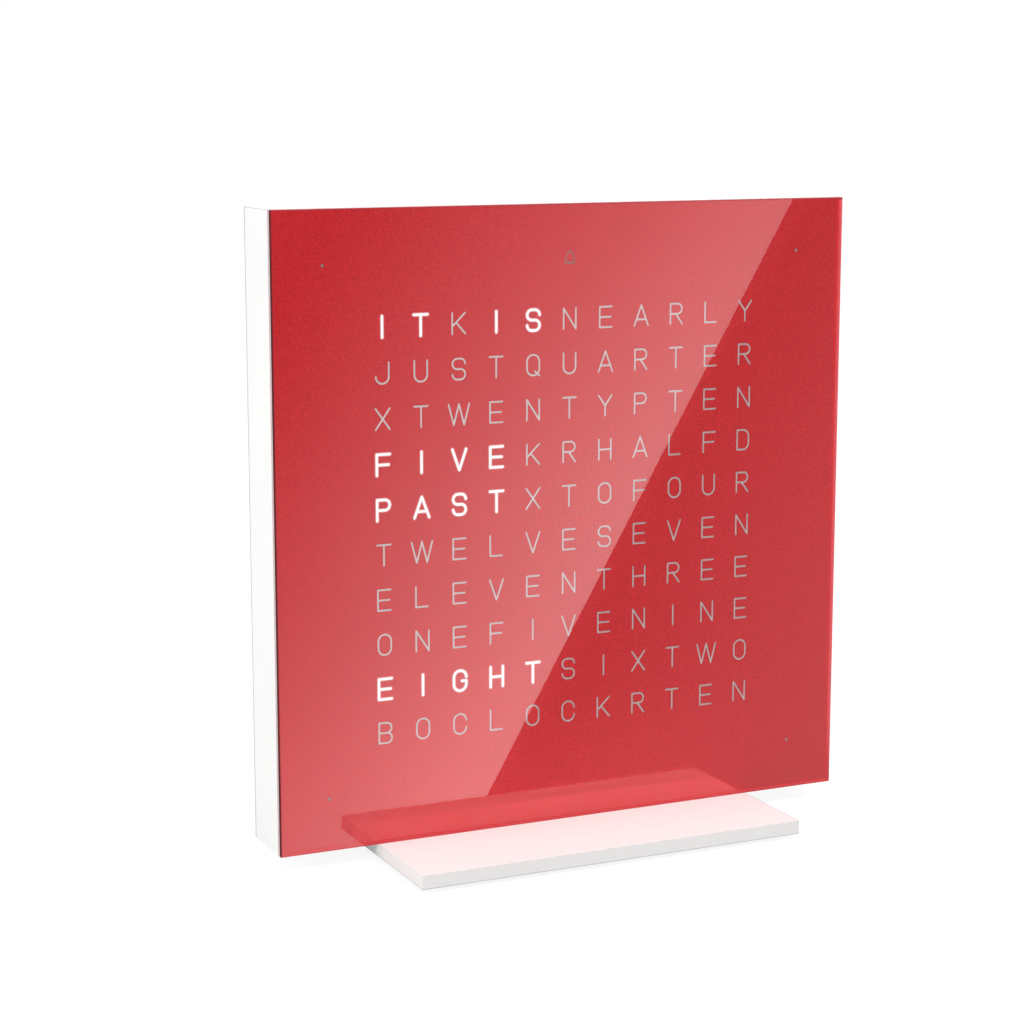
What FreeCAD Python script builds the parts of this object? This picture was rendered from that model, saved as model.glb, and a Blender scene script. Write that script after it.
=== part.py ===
"""Word clock on a bent plate stand: one function per sub-part, all sizes in millimetres.

Frame: X to the right of the clock's face, Y from the face to the back, Z up.
The origin is under the middle of the whole object, on the surface that it stands on.
"""
import FreeCAD, Part
import math
import os
from FreeCAD import Vector

# ---------------------------------------------------------------- driving dimensions
# Housing
case_width = 135.0
case_height = 135.0
case_depth = 15.9            # from the cover's face to the housing's rear rim
case_wall = 2.0
case_corner_radius = 0.4
ledge_width = 2.5            # front ledge that stops the light guide
ledge_thickness = 0.8
# Front cover
plate_thickness = 1.4
plate_inset = 0.1            # the cover stands back from the housing's outline
print_thickness = 0.15
print_inset = 0.05
film_thickness = 0.3
film_inset = 0.5
cover_disc_radius = 4.0
cover_disc_thickness = 0.4
cover_disc_spacing = 80.0    # between the left and right discs
# Letters, dots and bell in the print
letter_rows = (
    "ITKISNEARLY",
    "JUSTQUARTER",
    "XTWENTYPTEN",
    "FIVEKRHALFD",
    "PASTXTOFOUR",
    "TWELVESEVEN",
    "ELEVENTHREE",
    "ONEFIVENINE",
    "EIGHTSIXTWO",
    "BOCLOCKRTEN",
)
field_margin_x = 24.3        # middles of the outer letters from the housing's sides
field_margin_z = 24.345
field_drop = 0.2             # letter field centre below the plate's centre
letter_height = 4.4          # between stroke centrelines
letter_stroke = 0.42
dot_inset = 11.4             # corner dots from the housing's sides
dot_radius = 0.35
bell_height = 3.0
bell_stroke = 0.24
# Light guide and board
guide_depth = 7.0
cell_wall_x = 1.44           # between neighbouring cells
cell_wall_z = 1.59
dot_tube_radius = 1.5
bell_cell_size = 5.0
board_thickness = 1.6
board_inset = 0.5
led_size = 2.0
led_thickness = 0.8
held_magnet_radius = 4.0
held_magnet_thickness = 2.0
# Rear cover
border_thickness = 2.0
tray_inset = 8.0             # raised square tray from the housing's sides
tray_corner_radius = 1.5
tray_edge_chamfer = 0.4
tray_rise = 2.0
tray_wall = 2.0
strike_width = 50.0
strike_height = 31.0
strike_thickness = 0.8
sound_hole_radius = 0.6
sound_ring_step = 2.4
# Stand
stand_width = 90.0
stand_reach = 23.1           # in front of the clock's face
stand_thickness = 3.0
stand_bend_radius = 1.0
stand_edge_chamfer = 0.15
upright_width = 60.0
upright_margin = 4.2         # of the upright above its magnets
pocket_depth = 0.8           # how far the upright sinks into the rear cover
stand_magnet_radius = 5.0
stand_magnet_thickness = 2.0
stand_magnet_spacing = 36.0
stand_magnet_step = 20.0
pad_radius = 4.5
pad_thickness = 1.0
pad_side_inset = 8.0
pad_front_inset = 10.5       # far enough in for the front edge to hide the pads
pad_rear_inset = 5.5
# Buttons and their switches
button_names = ("hour", "minute", "alarm", "brightness")
button_spacing = 14.0
button_rise = 40.5           # of the button row above the middle
button_radius = 3.0
button_flange_radius = 4.2
button_flange_thickness = 0.9
button_proud = 0.6
button_dish = 0.25
button_edge_radius = 0.25
button_travel = 0.4
switch_size = 6.0
switch_height = 3.1
plunger_radius = 1.7
# Inlet and sounder
inlet_inset_x = 13.5         # from the tray's right side
inlet_inset_z = 11.0         # from the tray's foot
inlet_collar_radius = 4.0
inlet_body_size = 9.0
inlet_bore_radius = 1.85
inlet_bore_depth = 6.5
inlet_lead_in = 0.3
inlet_pin_radius = 0.6
inlet_pin_recess = 1.0       # of the pin's tip below the collar's face
sounder_radius = 6.0
sounder_height = 5.0
sounder_mouth_radius = 1.5
sounder_rise = 10.5
sounder_edge_radius = 0.4
# Chips and other parts on the board's back; a rise is from the clock's middle
controller_size = 10.0
controller_thickness = 1.4
controller_x = -22.0
controller_rise = 6.5
controller_lead_count = 11   # on each of four sides
driver_width = 7.8
driver_height = 4.4
driver_thickness = 1.1
driver_spacing = 34.0
driver_rise = -9.5
driver_lead_count = 4        # on each end
lead_width = 0.3
lead_length = 1.0
lead_thickness = 0.2
crystal_length = 11.0
crystal_width = 4.6
crystal_thickness = 3.4
crystal_rise = 20.5
resistor_length = 1.6
resistor_width = 0.8
resistor_thickness = 0.45
resistor_pitch = 1.8
resistor_rise = -16.5
resistor_count = 6           # in each row
capacitor_radius = 3.1
capacitor_height = 4.8
capacitor_spacing = 8.0
capacitor_edge_radius = 0.3
capacitor_rise = 15.0        # from the inlet
regulator_width = 6.5
regulator_height = 3.5
regulator_thickness = 1.6
regulator_offset = 12.0      # from the inlet
regulator_leg_width = 0.7
regulator_leg_length = 1.6
regulator_leg_pitch = 2.3
regulator_tab_width = 3.0
# Screws and their posts
board_screw_radius = 1.0
board_screw_head_radius = 1.9
board_screw_head_height = 1.2
board_screw_length = 6.0
board_screw_slot = 0.4
board_post_radius = 2.8
board_post_inset = 4.6
board_post_spacing = 55.0
cover_screw_radius = 1.1
cover_screw_head_radius = 2.0
cover_screw_length = 7.0
cover_screw_cross = 0.4      # width of the cross, and nearly its depth
cover_post_radius = 3.2
cover_post_inset = 5.0
# Touch foil
foil_length = 80.0
foil_thickness = 0.1
foil_tab_width = 6.0
foil_tab_height = 8.0
# Clearances
slip = 0.3                   # loose fit of parts that drop in
running_fit = 0.08           # buttons and plungers in their bores
seat_fit = 0.05              # magnets and screws in their holes

# ---------------------------------------------------------------- places worked out from them
floor_z = pad_thickness + stand_thickness                 # the clock stands here
mid_z = floor_z + case_height / 2
top_z = floor_z + case_height
stand_depth = stand_reach + case_depth + tray_rise - pocket_depth + stand_thickness
face_y = -stand_depth / 2 + stand_reach                   # front of the cover plate
print_y = face_y + plate_thickness
shell_y = print_y + print_thickness                       # front rim of the housing
ledge_back_y = shell_y + ledge_thickness
magnet_y = shell_y + cover_disc_thickness + 2 * seat_fit  # just behind the cover's discs
guide_y = shell_y + film_thickness
board_y = guide_y + guide_depth
board_back_y = board_y + board_thickness
rim_y = face_y + case_depth                               # rear rim of the housing
border_y = rim_y - border_thickness
tray_y = rim_y + tray_rise                                # outermost rear face of the clock
tray_inner_y = tray_y - tray_wall
upright_y = tray_y - pocket_depth                         # front face of the upright
flange_y = tray_inner_y - button_flange_thickness
inner_width = case_width - 2 * case_wall
inner_height = case_height - 2 * case_wall
window_width = inner_width - 2 * ledge_width
window_height = inner_height - 2 * ledge_width
tray_width = case_width - 2 * tray_inset
tray_height = case_height - 2 * tray_inset
tray_low_z = floor_z + tray_inset
field_z = mid_z - field_drop
column_pitch = (case_width - 2 * field_margin_x) / (len(letter_rows[0]) - 1)
row_pitch = (case_height - 2 * field_margin_z) / (len(letter_rows) - 1)
cell_width = column_pitch - cell_wall_x
cell_height = row_pitch - cell_wall_z
dot_x = case_width / 2 - dot_inset
dot_rise = case_height / 2 - dot_inset
button_z = mid_z + button_rise
sounder_z = mid_z + sounder_rise
inlet_x = tray_width / 2 - inlet_inset_x
inlet_z = tray_low_z + inlet_inset_z
strike_z = tray_low_z + tray_wall + slip + strike_height / 2
upright_top_z = strike_z + stand_magnet_step / 2 + stand_magnet_radius + upright_margin


def four_corners(x, z, half_height):
    """Places at plus and minus x, half_height above and below z."""
    return [(side * x, z + level * half_height) for side in (-1, 1) for level in (-1, 1)]


cover_post_places = four_corners(case_width / 2 - cover_post_inset, mid_z,
                                 case_height / 2 - cover_post_inset)
board_post_places = four_corners(case_width / 2 - board_post_inset, mid_z, board_post_spacing / 2)
cover_disc_places = four_corners(cover_disc_spacing / 2, field_z, dot_rise)
dot_places = four_corners(dot_x, field_z, dot_rise)
stand_magnet_places = four_corners(stand_magnet_spacing / 2, strike_z, stand_magnet_step / 2)
driver_x_places = (-driver_spacing, 0.0, driver_spacing)
button_places = [
    (name, (index - (len(button_names) - 1) / 2) * button_spacing)
    for index, name in enumerate(button_names)
]
letter_places = [
    (letter, (column - (len(word) - 1) / 2) * column_pitch,
     field_z + ((len(letter_rows) - 1) / 2 - row) * row_pitch)
    for row, word in enumerate(letter_rows)
    for column, letter in enumerate(word)
]


# ---------------------------------------------------------------- small shape helpers
def block(width, depth, height, x, y, z):
    """Box centred on x and z, from y backwards."""
    return Part.makeBox(width, depth, height, Vector(x - width / 2, y, z - height / 2))


def rod(radius, depth, x, y, z):
    """Cylinder along +Y from y."""
    return Part.makeCylinder(radius, depth, Vector(x, y, z), Vector(0, 1, 0))


def cone(radius_front, radius_back, depth, x, y, z):
    """Cone along +Y from y."""
    return Part.makeCone(radius_front, radius_back, depth, Vector(x, y, z), Vector(0, 1, 0))


def cut_all(shape, tools):
    """The shape less every tool."""
    return shape.cut(Part.makeCompound(tools))


def rounded_block(width, depth, height, x, y, z, radius):
    """Box whose four edges along Y are rounded."""
    solid = block(width, depth, height, x, y, z)
    along_y = [e for e in solid.Edges if abs(e.tangentAt(e.FirstParameter).y) > 0.99]
    return solid.makeFillet(radius, along_y)


# ---------------------------------------------------------------- single-line letters
def stroke_path(points, closed):
    """Wire through (x, z, corner radius) points in the XZ plane, with tangent arcs at the corners."""
    corners = [Vector(p[0], 0, p[1]) for p in points]
    radii = [p[2] if len(p) > 2 else 0.0 for p in points]
    count = len(points)
    entries, exits, arcs = [], [], []
    for i in range(count):
        open_end = not closed and i in (0, count - 1)
        if radii[i] <= 0 or open_end:
            entries.append(corners[i])
            exits.append(corners[i])
            arcs.append(None)
            continue
        back = (corners[i - 1] - corners[i]).normalize()
        ahead = (corners[(i + 1) % count] - corners[i]).normalize()
        half = back.getAngle(ahead) / 2
        reach = radii[i] / math.tan(half)
        middle_way = (back + ahead).normalize()
        middle = corners[i] + middle_way * (radii[i] / math.sin(half) - radii[i])
        entries.append(corners[i] + back * reach)
        exits.append(corners[i] + ahead * reach)
        arcs.append(middle)
    edges = []
    for i in range(count):
        if arcs[i]:
            edges.append(Part.Arc(entries[i], arcs[i], exits[i]).toShape())
        if not closed and i == count - 1:
            break
        after = entries[(i + 1) % count]
        if (after - exits[i]).Length > 1e-6:
            edges.append(Part.LineSegment(exits[i], after).toShape())
    return Part.Wire(edges)


def stroke_face(points, closed, stroke):
    """Flat face of a pen stroke along the path, with round ends."""
    if len(points) == 2:
        start = Vector(points[0][0], 0, points[0][1])
        end = Vector(points[1][0], 0, points[1][1])
        along = (end - start).normalize()
        aside = along.cross(Vector(0, 1, 0)) * (stroke / 2)
        out = along * (stroke / 2)
        edges = [
            Part.LineSegment(start + aside, end + aside).toShape(),
            Part.Arc(end + aside, end + out, end - aside).toShape(),
            Part.LineSegment(end - aside, start - aside).toShape(),
            Part.Arc(start - aside, start - out, start + aside).toShape(),
        ]
        return Part.Face(Part.Wire(edges))
    path = stroke_path(points, closed)
    if not closed:
        return Part.Face(path.makeOffset2D(stroke / 2))
    sides = [path.makeOffset2D(stroke / 2), path.makeOffset2D(-stroke / 2)]
    sides.sort(key=lambda wire: wire.BoundBox.DiagonalLength)
    return Part.Face(sides[1]).cut(Part.Face(sides[0]))


def letter_strokes(letter, high):
    """Pen strokes of a plain upright letter, centred on x 0 and z 0, as (points, closed) pairs."""
    top, low, mid = high / 2, -high / 2, 0.0
    wide = 0.66 * high
    right, left = wide / 2, -wide / 2
    bowl = high / 4 - 0.01
    drum = wide / 2 - 0.01
    left_bar = ([(left, low), (left, top)], False)
    right_bar = ([(right, low), (right, top)], False)
    lip = 0.26 * high
    bowl_right = right - 0.02 * high
    upper_bowl = [(left, top), (bowl_right, top, bowl), (bowl_right, mid, bowl), (left, mid)]
    lower_bowl = [(left, mid), (right, mid, bowl), (right, low, bowl), (left, low)]
    vee = 0.36 * high
    double = 0.27 * high
    drum_outline = [(left, low, drum), (right, low, drum), (right, top, drum), (left, top, drum)]
    c_outline = [(right, top - lip), (right, top, drum), (left, top, drum), (left, low, drum),
                 (right, low, drum), (right, low + lip)]
    drawn = {
        "A": [([(-vee - 0.02 * high, low), (0, top), (vee + 0.02 * high, low)], False),
              ([(-0.66 * vee, low + 0.3 * high), (0.66 * vee, low + 0.3 * high)], False)],
        "B": [left_bar, (upper_bowl, False), (lower_bowl, False)],
        "C": [(c_outline, False)],
        "D": [([(left, low), (right, low, drum), (right, top, drum), (left, top)], True)],
        "E": [([(right, top), (left, top), (left, low), (right, low)], False),
              ([(left, mid), (right - 0.06 * high, mid)], False)],
        "F": [([(right, top), (left, top), (left, low)], False),
              ([(left, mid), (right - 0.06 * high, mid)], False)],
        "G": [(c_outline[:-1] + [(right, mid - 0.02 * high), (0.1 * high, mid - 0.02 * high)], False)],
        "H": [left_bar, right_bar, ([(left, mid), (right, mid)], False)],
        "I": [([(0, low), (0, top)], False)],
        "J": [([(right, top), (right, low, drum), (left, low, drum), (left, low + lip)], False)],
        "K": [left_bar, ([(right, top), (left, low + 0.36 * high)], False),
              ([(left + 0.2 * high, low + 0.55 * high), (right + 0.02 * high, low)], False)],
        "L": [([(left, top), (left, low), (right - 0.03 * high, low)], False)],
        "N": [([(left, low), (left, top), (right, low), (right, top)], False)],
        "O": [(drum_outline, True)],
        "P": [left_bar, (upper_bowl, False)],
        "Q": [(drum_outline, True),
              ([(right - 0.24 * high, low + 0.2 * high), (right + 0.01 * high, low - 0.02 * high)], False)],
        "R": [left_bar, (upper_bowl, False), ([(left + 0.3 * high, mid), (right, low)], False)],
        "S": [([(right, top - 0.2 * high), (right, top, bowl), (left, top, bowl), (left, mid, bowl),
                (right, mid, bowl), (right, low, bowl), (left, low, bowl),
                (left, low + 0.2 * high)], False)],
        "T": [([(left - 0.02 * high, top), (right + 0.02 * high, top)], False),
              ([(0, low), (0, top)], False)],
        "U": [([(left, top), (left, low, drum), (right, low, drum), (right, top)], False)],
        "V": [([(-vee, top), (0, low), (vee, top)], False)],
        "W": [([(-2 * double, top), (-double, low), (0, top), (double, low), (2 * double, top)], False)],
        "X": [([(-vee, low), (vee, top)], False), ([(-vee, top), (vee, low)], False)],
        "Y": [([(-vee, top), (0, mid), (vee, top)], False), ([(0, low), (0, mid)], False)],
    }
    return drawn[letter]


def pen_cutters(strokes, stroke, x, z):
    """The strokes as solids through the print, moved to their place."""
    through = Vector(0, print_thickness, 0)
    cutters = [stroke_face(points, closed, stroke).extrude(through) for points, closed in strokes]
    for cutter in cutters:
        cutter.translate(Vector(x, print_y, z))
    return cutters


def bell_strokes(high):
    """Pen strokes of a plain bell: its closed outline and the clapper below it."""
    top, foot = 0.5 * high, -0.34 * high
    hip = 0.4 * high
    shoulder = 0.24 * high
    outline = [(-hip, foot), (hip, foot), (0.27 * high, 0.0), (shoulder, 0.24 * high), (0, top),
               (-shoulder, 0.24 * high), (-0.27 * high, 0.0)]
    clapper = [(-0.04 * high, foot), (0, -0.46 * high), (0.04 * high, foot)]
    return [(outline, True), (clapper, False)]


# ---------------------------------------------------------------- front cover
def cover_plate():
    """Clear acrylic plate with polished square edges."""
    return block(case_width - 2 * plate_inset, plate_thickness, case_height - 2 * plate_inset,
                 0, face_y, mid_z)


def letter_mask():
    """Printed coat on the plate's back: one sheet with the openings, and the islands inside the letters."""
    inset = plate_inset + print_inset
    sheet = block(case_width - 2 * inset, print_thickness, case_height - 2 * inset, 0, print_y, mid_z)
    openings = pen_cutters(bell_strokes(bell_height), bell_stroke, 0, field_z + dot_rise)
    for letter, x, z in letter_places:
        openings += pen_cutters(letter_strokes(letter, letter_height), letter_stroke, x, z)
    openings += [rod(dot_radius, print_thickness, x, print_y, z) for x, z in dot_places]
    return sheet.cut(openings)


def diffuser_film():
    """Pale film behind the print, cut out around the steel discs."""
    film = block(window_width - 2 * film_inset, film_thickness, window_height - 2 * film_inset,
                 0, shell_y, mid_z)
    holes = [rod(cover_disc_radius + slip, film_thickness, x, shell_y, z) for x, z in cover_disc_places]
    return cut_all(film, holes)


def cover_discs():
    """Steel discs on the cover's back that the housing's magnets pull."""
    return Part.makeCompound(
        [rod(cover_disc_radius, cover_disc_thickness, x, shell_y, z) for x, z in cover_disc_places]
    )


# ---------------------------------------------------------------- housing
def housing_shell():
    """Moulded square tube with a front ledge, screw posts in its corners and board posts at its sides."""
    depth = rim_y - shell_y
    shell = rounded_block(case_width, depth, case_height, 0, shell_y, mid_z, case_corner_radius)
    hollow = block(inner_width, rim_y - ledge_back_y, inner_height, 0, ledge_back_y, mid_z)
    window = block(window_width, ledge_thickness, window_height, 0, shell_y, mid_z)
    shell = shell.cut(hollow).cut(window)
    posts, holes = [], []
    for x, z in cover_post_places:
        posts.append(rod(cover_post_radius, border_y - ledge_back_y, x, ledge_back_y, z))
        holes.append(rod(cover_screw_radius + seat_fit, cover_screw_length,
                         x, rim_y - cover_screw_length - seat_fit, z))
    for x, z in board_post_places:
        posts.append(rod(board_post_radius, board_y - ledge_back_y, x, ledge_back_y, z))
        holes.append(rod(board_screw_radius + seat_fit, board_screw_length,
                         x, board_back_y - board_screw_length - seat_fit, z))
    return cut_all(shell.multiFuse(posts).removeSplitter(), holes)


def post_notches(y, depth):
    """Clearance around the housing's posts, for what drops in from behind."""
    notches = []
    for x, z in cover_post_places:
        side = math.copysign(1, x)
        level = math.copysign(1, z - mid_z)
        reach = cover_post_radius + slip
        notches.append(rod(reach, depth, x, y, z))
        notches.append(block(reach * 2, depth, reach * 2, x + side * reach, y, z))
        notches.append(block(reach * 2, depth, reach * 2, x, y, z + level * reach))
    return notches


def light_guide():
    """Moulded grid with a cell behind each letter, a tube behind each dot and pockets for the magnets."""
    back_width = inner_width - 2 * slip
    back_height = inner_height - 2 * slip
    front_width = window_width - 2 * slip
    front_height = window_height - 2 * slip
    body = block(back_width, board_y - ledge_back_y, back_height, 0, ledge_back_y, mid_z)
    body = body.fuse(block(front_width, ledge_back_y - guide_y, front_height, 0, guide_y, mid_z))
    tools = [block(cell_width, guide_depth, cell_height, x, guide_y, z) for _, x, z in letter_places]
    tools += [rod(dot_tube_radius, guide_depth, x, guide_y, z) for x, z in dot_places]
    tools.append(block(bell_cell_size, guide_depth, bell_cell_size, 0, guide_y, field_z + dot_rise))
    for x, z in cover_disc_places:
        tools.append(rod(cover_disc_radius + slip, magnet_y - guide_y, x, guide_y, z))
        tools.append(rod(held_magnet_radius + seat_fit, held_magnet_thickness, x, magnet_y, z))
    tools += post_notches(ledge_back_y, board_y - ledge_back_y)
    tools += [rod(board_post_radius + slip, board_y - ledge_back_y, x, ledge_back_y, z)
              for x, z in board_post_places]
    return cut_all(body, tools)


def housing_magnets():
    """Disc magnets in the light guide that hold the front cover."""
    return Part.makeCompound(
        [rod(held_magnet_radius, held_magnet_thickness, x, magnet_y, z) for x, z in cover_disc_places]
    )


def touch_foil():
    """Copper strip under the top wall, with a tab bent down onto the board's back."""
    wall_z = top_z - case_wall
    depth = border_y - board_back_y - slip
    strip = block(foil_length, depth, foil_thickness, 0, board_back_y, wall_z - foil_thickness / 2)
    tab = block(foil_tab_width, foil_thickness, foil_tab_height, 0, board_back_y,
                wall_z - foil_tab_height / 2)
    return strip.fuse(tab).removeSplitter()


# ---------------------------------------------------------------- board and what it carries
def led_board():
    """Board clamped on the light guide, notched around the corner posts."""
    board = block(inner_width - 2 * board_inset, board_thickness, inner_height - 2 * board_inset,
                  0, board_y, mid_z)
    tools = post_notches(board_y, board_thickness)
    tools += [rod(board_screw_radius + seat_fit, board_thickness, x, board_y, z)
              for x, z in board_post_places]
    return cut_all(board, tools)


def lamp(x, z):
    """One surface-mounted LED on the board's front."""
    return block(led_size, led_thickness, led_size, x, board_y - led_thickness, z)


def letter_leds():
    """One LED in the middle of each cell."""
    return Part.makeCompound([lamp(x, z) for _, x, z in letter_places])


def minute_leds():
    """One LED behind each corner dot."""
    return Part.makeCompound([lamp(x, z) for x, z in dot_places])


def alarm_led():
    """The LED behind the bell."""
    return lamp(0, field_z + dot_rise)


def board_screws():
    """Pan-head screws through the board into the housing's side posts."""
    screws = []
    for x, z in board_post_places:
        shank = rod(board_screw_radius, board_screw_length, x, board_back_y - board_screw_length, z)
        head = rod(board_screw_head_radius, board_screw_head_height, x, board_back_y, z)
        head = head.makeFillet(board_screw_head_height / 3, [head.Edges[0]])
        slot = block(board_screw_head_radius * 1.3, board_screw_head_height / 2, board_screw_slot,
                     x, board_back_y + board_screw_head_height / 2, z)
        screws.append(shank.fuse(head).cut(slot))
    return Part.makeCompound(screws)


def leaded_chip(width, height, thickness, lead_count, on_all_sides, x, z):
    """Chip with leads along two sides, or all four."""
    shapes = [block(width, thickness, height, x, board_back_y, z)]
    directions = [(1, 0), (-1, 0)] + ([(0, 1), (0, -1)] if on_all_sides else [])
    for across, up in directions:
        run = height if across else width
        pitch = run / (lead_count + 1)
        for index in range(lead_count):
            along = (index - (lead_count - 1) / 2) * pitch
            if across:
                place = (x + across * (width + lead_length) / 2, z + along)
                size = (lead_length, lead_width)
            else:
                place = (x + along, z + up * (height + lead_length) / 2)
                size = (lead_width, lead_length)
            shapes.append(block(size[0], lead_thickness, size[1], place[0], board_back_y, place[1]))
    return shapes


def controller_chip():
    """Controller in a flat square package."""
    return Part.makeCompound(leaded_chip(controller_size, controller_size, controller_thickness,
                                         controller_lead_count, True, controller_x, mid_z + controller_rise))


def driver_chips():
    """Drivers for the LED rows and columns."""
    shapes = []
    for x in driver_x_places:
        shapes += leaded_chip(driver_width, driver_height, driver_thickness,
                              driver_lead_count, False, x, mid_z + driver_rise)
    return Part.makeCompound(shapes)


def clock_crystal():
    """Low-profile can of the time-keeping crystal."""
    return rounded_block(crystal_length, crystal_thickness, crystal_width, controller_x, board_back_y,
                         mid_z + crystal_rise, crystal_width / 2 - seat_fit)


def storage_capacitors():
    """Can capacitors above the inlet."""
    cans = []
    for step in (-1, 0, 1):
        x = inlet_x - capacitor_spacing / 2 + step * capacitor_spacing
        can = rod(capacitor_radius, capacitor_height, x, board_back_y, inlet_z + capacitor_rise)
        cans.append(can.makeFillet(capacitor_edge_radius, [outer_rim(can)]))
    return Part.makeCompound(cans)


def voltage_regulator():
    """Regulator beside the inlet, with its cooling tab and three legs."""
    x = inlet_x - regulator_offset
    reach = (regulator_height + regulator_leg_length) / 2
    shapes = [
        block(regulator_width, regulator_thickness, regulator_height, x, board_back_y, inlet_z),
        block(regulator_tab_width, lead_thickness, regulator_leg_length, x, board_back_y, inlet_z + reach),
    ]
    for step in (-1, 0, 1):
        shapes.append(block(regulator_leg_width, lead_thickness, regulator_leg_length,
                            x + step * regulator_leg_pitch, board_back_y, inlet_z - reach))
    return Part.makeCompound(shapes)


def chip_resistors():
    """A row of small resistors under each driver."""
    rows = []
    for x in driver_x_places:
        for index in range(resistor_count):
            along = (index - (resistor_count - 1) / 2) * resistor_pitch
            rows.append(block(resistor_width, resistor_thickness, resistor_length,
                              x + along, board_back_y, mid_z + resistor_rise))
    return Part.makeCompound(rows)


def outer_rim(round_solid):
    """The circle at the rear end of an upright or turned piece."""
    circles = [e for e in round_solid.Edges if e.BoundBox.YLength < 1e-6]
    return max(circles, key=lambda e: e.BoundBox.YMax)


def alarm_sounder():
    """Round alarm sounder, its mouth towards the rear cover."""
    can = rod(sounder_radius, sounder_height, 0, board_back_y, sounder_z)
    can = can.makeFillet(sounder_edge_radius, [outer_rim(can)])
    mouth_depth = sounder_height / 2
    return can.cut(rod(sounder_mouth_radius, mouth_depth, 0, board_back_y + mouth_depth, sounder_z))


def power_inlet():
    """Round low-voltage inlet: a square body on the board and a collar through the rear cover."""
    body_depth = tray_inner_y - board_back_y - slip
    body = block(inlet_body_size, body_depth, inlet_body_size, inlet_x, board_back_y, inlet_z)
    collar = rod(inlet_collar_radius, tray_y - board_back_y, inlet_x, board_back_y, inlet_z)
    bore = rod(inlet_bore_radius, inlet_bore_depth, inlet_x, tray_y - inlet_bore_depth, inlet_z)
    lead_in = cone(inlet_bore_radius, inlet_bore_radius + inlet_lead_in, inlet_lead_in,
                   inlet_x, tray_y - inlet_lead_in, inlet_z)
    return body.fuse(collar).cut(bore).cut(lead_in).removeSplitter()


def inlet_pin():
    """Centre contact of the inlet."""
    pin = rod(inlet_pin_radius, inlet_bore_depth - inlet_pin_recess,
              inlet_x, tray_y - inlet_bore_depth, inlet_z)
    return pin.makeFillet(inlet_pin_radius / 2, [outer_rim(pin)])


def switch_bases():
    """Square bases of the tact switches, each with the bore that its plunger runs in."""
    bases = []
    for _, x in button_places:
        base = block(switch_size, switch_height, switch_size, x, board_back_y, button_z)
        bore_depth = switch_height / 2 + button_travel
        bore = rod(plunger_radius + running_fit, bore_depth,
                   x, board_back_y + switch_height - bore_depth, button_z)
        bases.append(base.cut(bore))
    return Part.makeCompound(bases)


def plunger(x):
    """Plunger of one switch, from inside its base to the button's flange."""
    low_y = board_back_y + switch_height / 2
    return rod(plunger_radius, flange_y - low_y, x, low_y, button_z)


def button(x):
    """Flanged button cap with a dished face, guided in the rear cover."""
    flange = rod(button_flange_radius, button_flange_thickness, x, flange_y, button_z)
    stem = rod(button_radius, tray_y + button_proud - flange_y, x, flange_y, button_z)
    stem = stem.makeFillet(button_edge_radius, [outer_rim(stem)])
    dish_half_width = button_radius - 2 * button_edge_radius
    dish_radius = (dish_half_width ** 2 + button_dish ** 2) / (2 * button_dish)
    dish_centre = Vector(x, tray_y + button_proud - button_dish + dish_radius, button_z)
    return flange.fuse(stem).cut(Part.makeSphere(dish_radius, dish_centre)).removeSplitter()


# ---------------------------------------------------------------- rear cover
def rear_cover():
    """Back of the clock: a border inside the housing's rim and a raised square tray."""
    border = block(inner_width - 2 * slip, border_thickness, inner_height - 2 * slip, 0, border_y, mid_z)
    tray = rounded_block(tray_width, tray_rise, tray_height, 0, rim_y, mid_z, tray_corner_radius)
    back_edges = [e for e in tray.Edges if e.BoundBox.YMin > tray_y - seat_fit]
    tray = tray.makeChamfer(tray_edge_chamfer, back_edges)
    cover = border.fuse(tray)
    tools = [block(tray_width - 2 * tray_wall, tray_inner_y - border_y, tray_height - 2 * tray_wall,
                   0, border_y, mid_z)]
    pocket_height = upright_top_z + slip - tray_low_z
    tools.append(block(upright_width + 2 * slip, pocket_depth, pocket_height,
                       0, upright_y, tray_low_z + pocket_height / 2))
    tools += [rod(button_radius + running_fit, tray_wall, x, tray_inner_y, button_z)
              for _, x in button_places]
    tools.append(rod(inlet_collar_radius + slip / 2, tray_wall, inlet_x, tray_inner_y, inlet_z))
    tools.append(rod(sound_hole_radius, tray_wall, 0, tray_inner_y, sounder_z))
    for ring in (1, 2):
        count = 6 * ring
        for index in range(count):
            angle = 2 * math.pi * index / count
            tools.append(rod(sound_hole_radius, tray_wall, ring * sound_ring_step * math.cos(angle),
                             tray_inner_y, sounder_z + ring * sound_ring_step * math.sin(angle)))
    for x, z in cover_post_places:
        tools.append(rod(cover_screw_radius + seat_fit, border_thickness, x, border_y, z))
        tools.append(screw_head_cone(x, z, seat_fit))
    return cut_all(cover, tools)


def screw_head_cone(x, z, extra):
    """Countersunk head of a rear cover screw, grown by extra for its seat."""
    depth = cover_screw_head_radius - cover_screw_radius
    return cone(cover_screw_radius + extra, cover_screw_head_radius + extra, depth, x, rim_y - depth, z)


def rear_screws():
    """Countersunk screws, flush with the border."""
    screws = []
    for x, z in cover_post_places:
        shank = rod(cover_screw_radius, cover_screw_length, x, rim_y - cover_screw_length, z)
        cross_depth = cover_screw_cross + seat_fit
        cross_span = cover_screw_head_radius * 1.2
        cross = [
            block(cross_span, cross_depth, cover_screw_cross, x, rim_y - cross_depth, z),
            block(cover_screw_cross, cross_depth, cross_span, x, rim_y - cross_depth, z),
        ]
        screws.append(cut_all(shank.fuse(screw_head_cone(x, z, 0.0)), cross))
    return Part.makeCompound(screws)


def strike_plate():
    """Steel plate inside the tray, which the stand's magnets pull."""
    return block(strike_width, strike_thickness, strike_height, 0, tray_inner_y - strike_thickness, strike_z)


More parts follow.
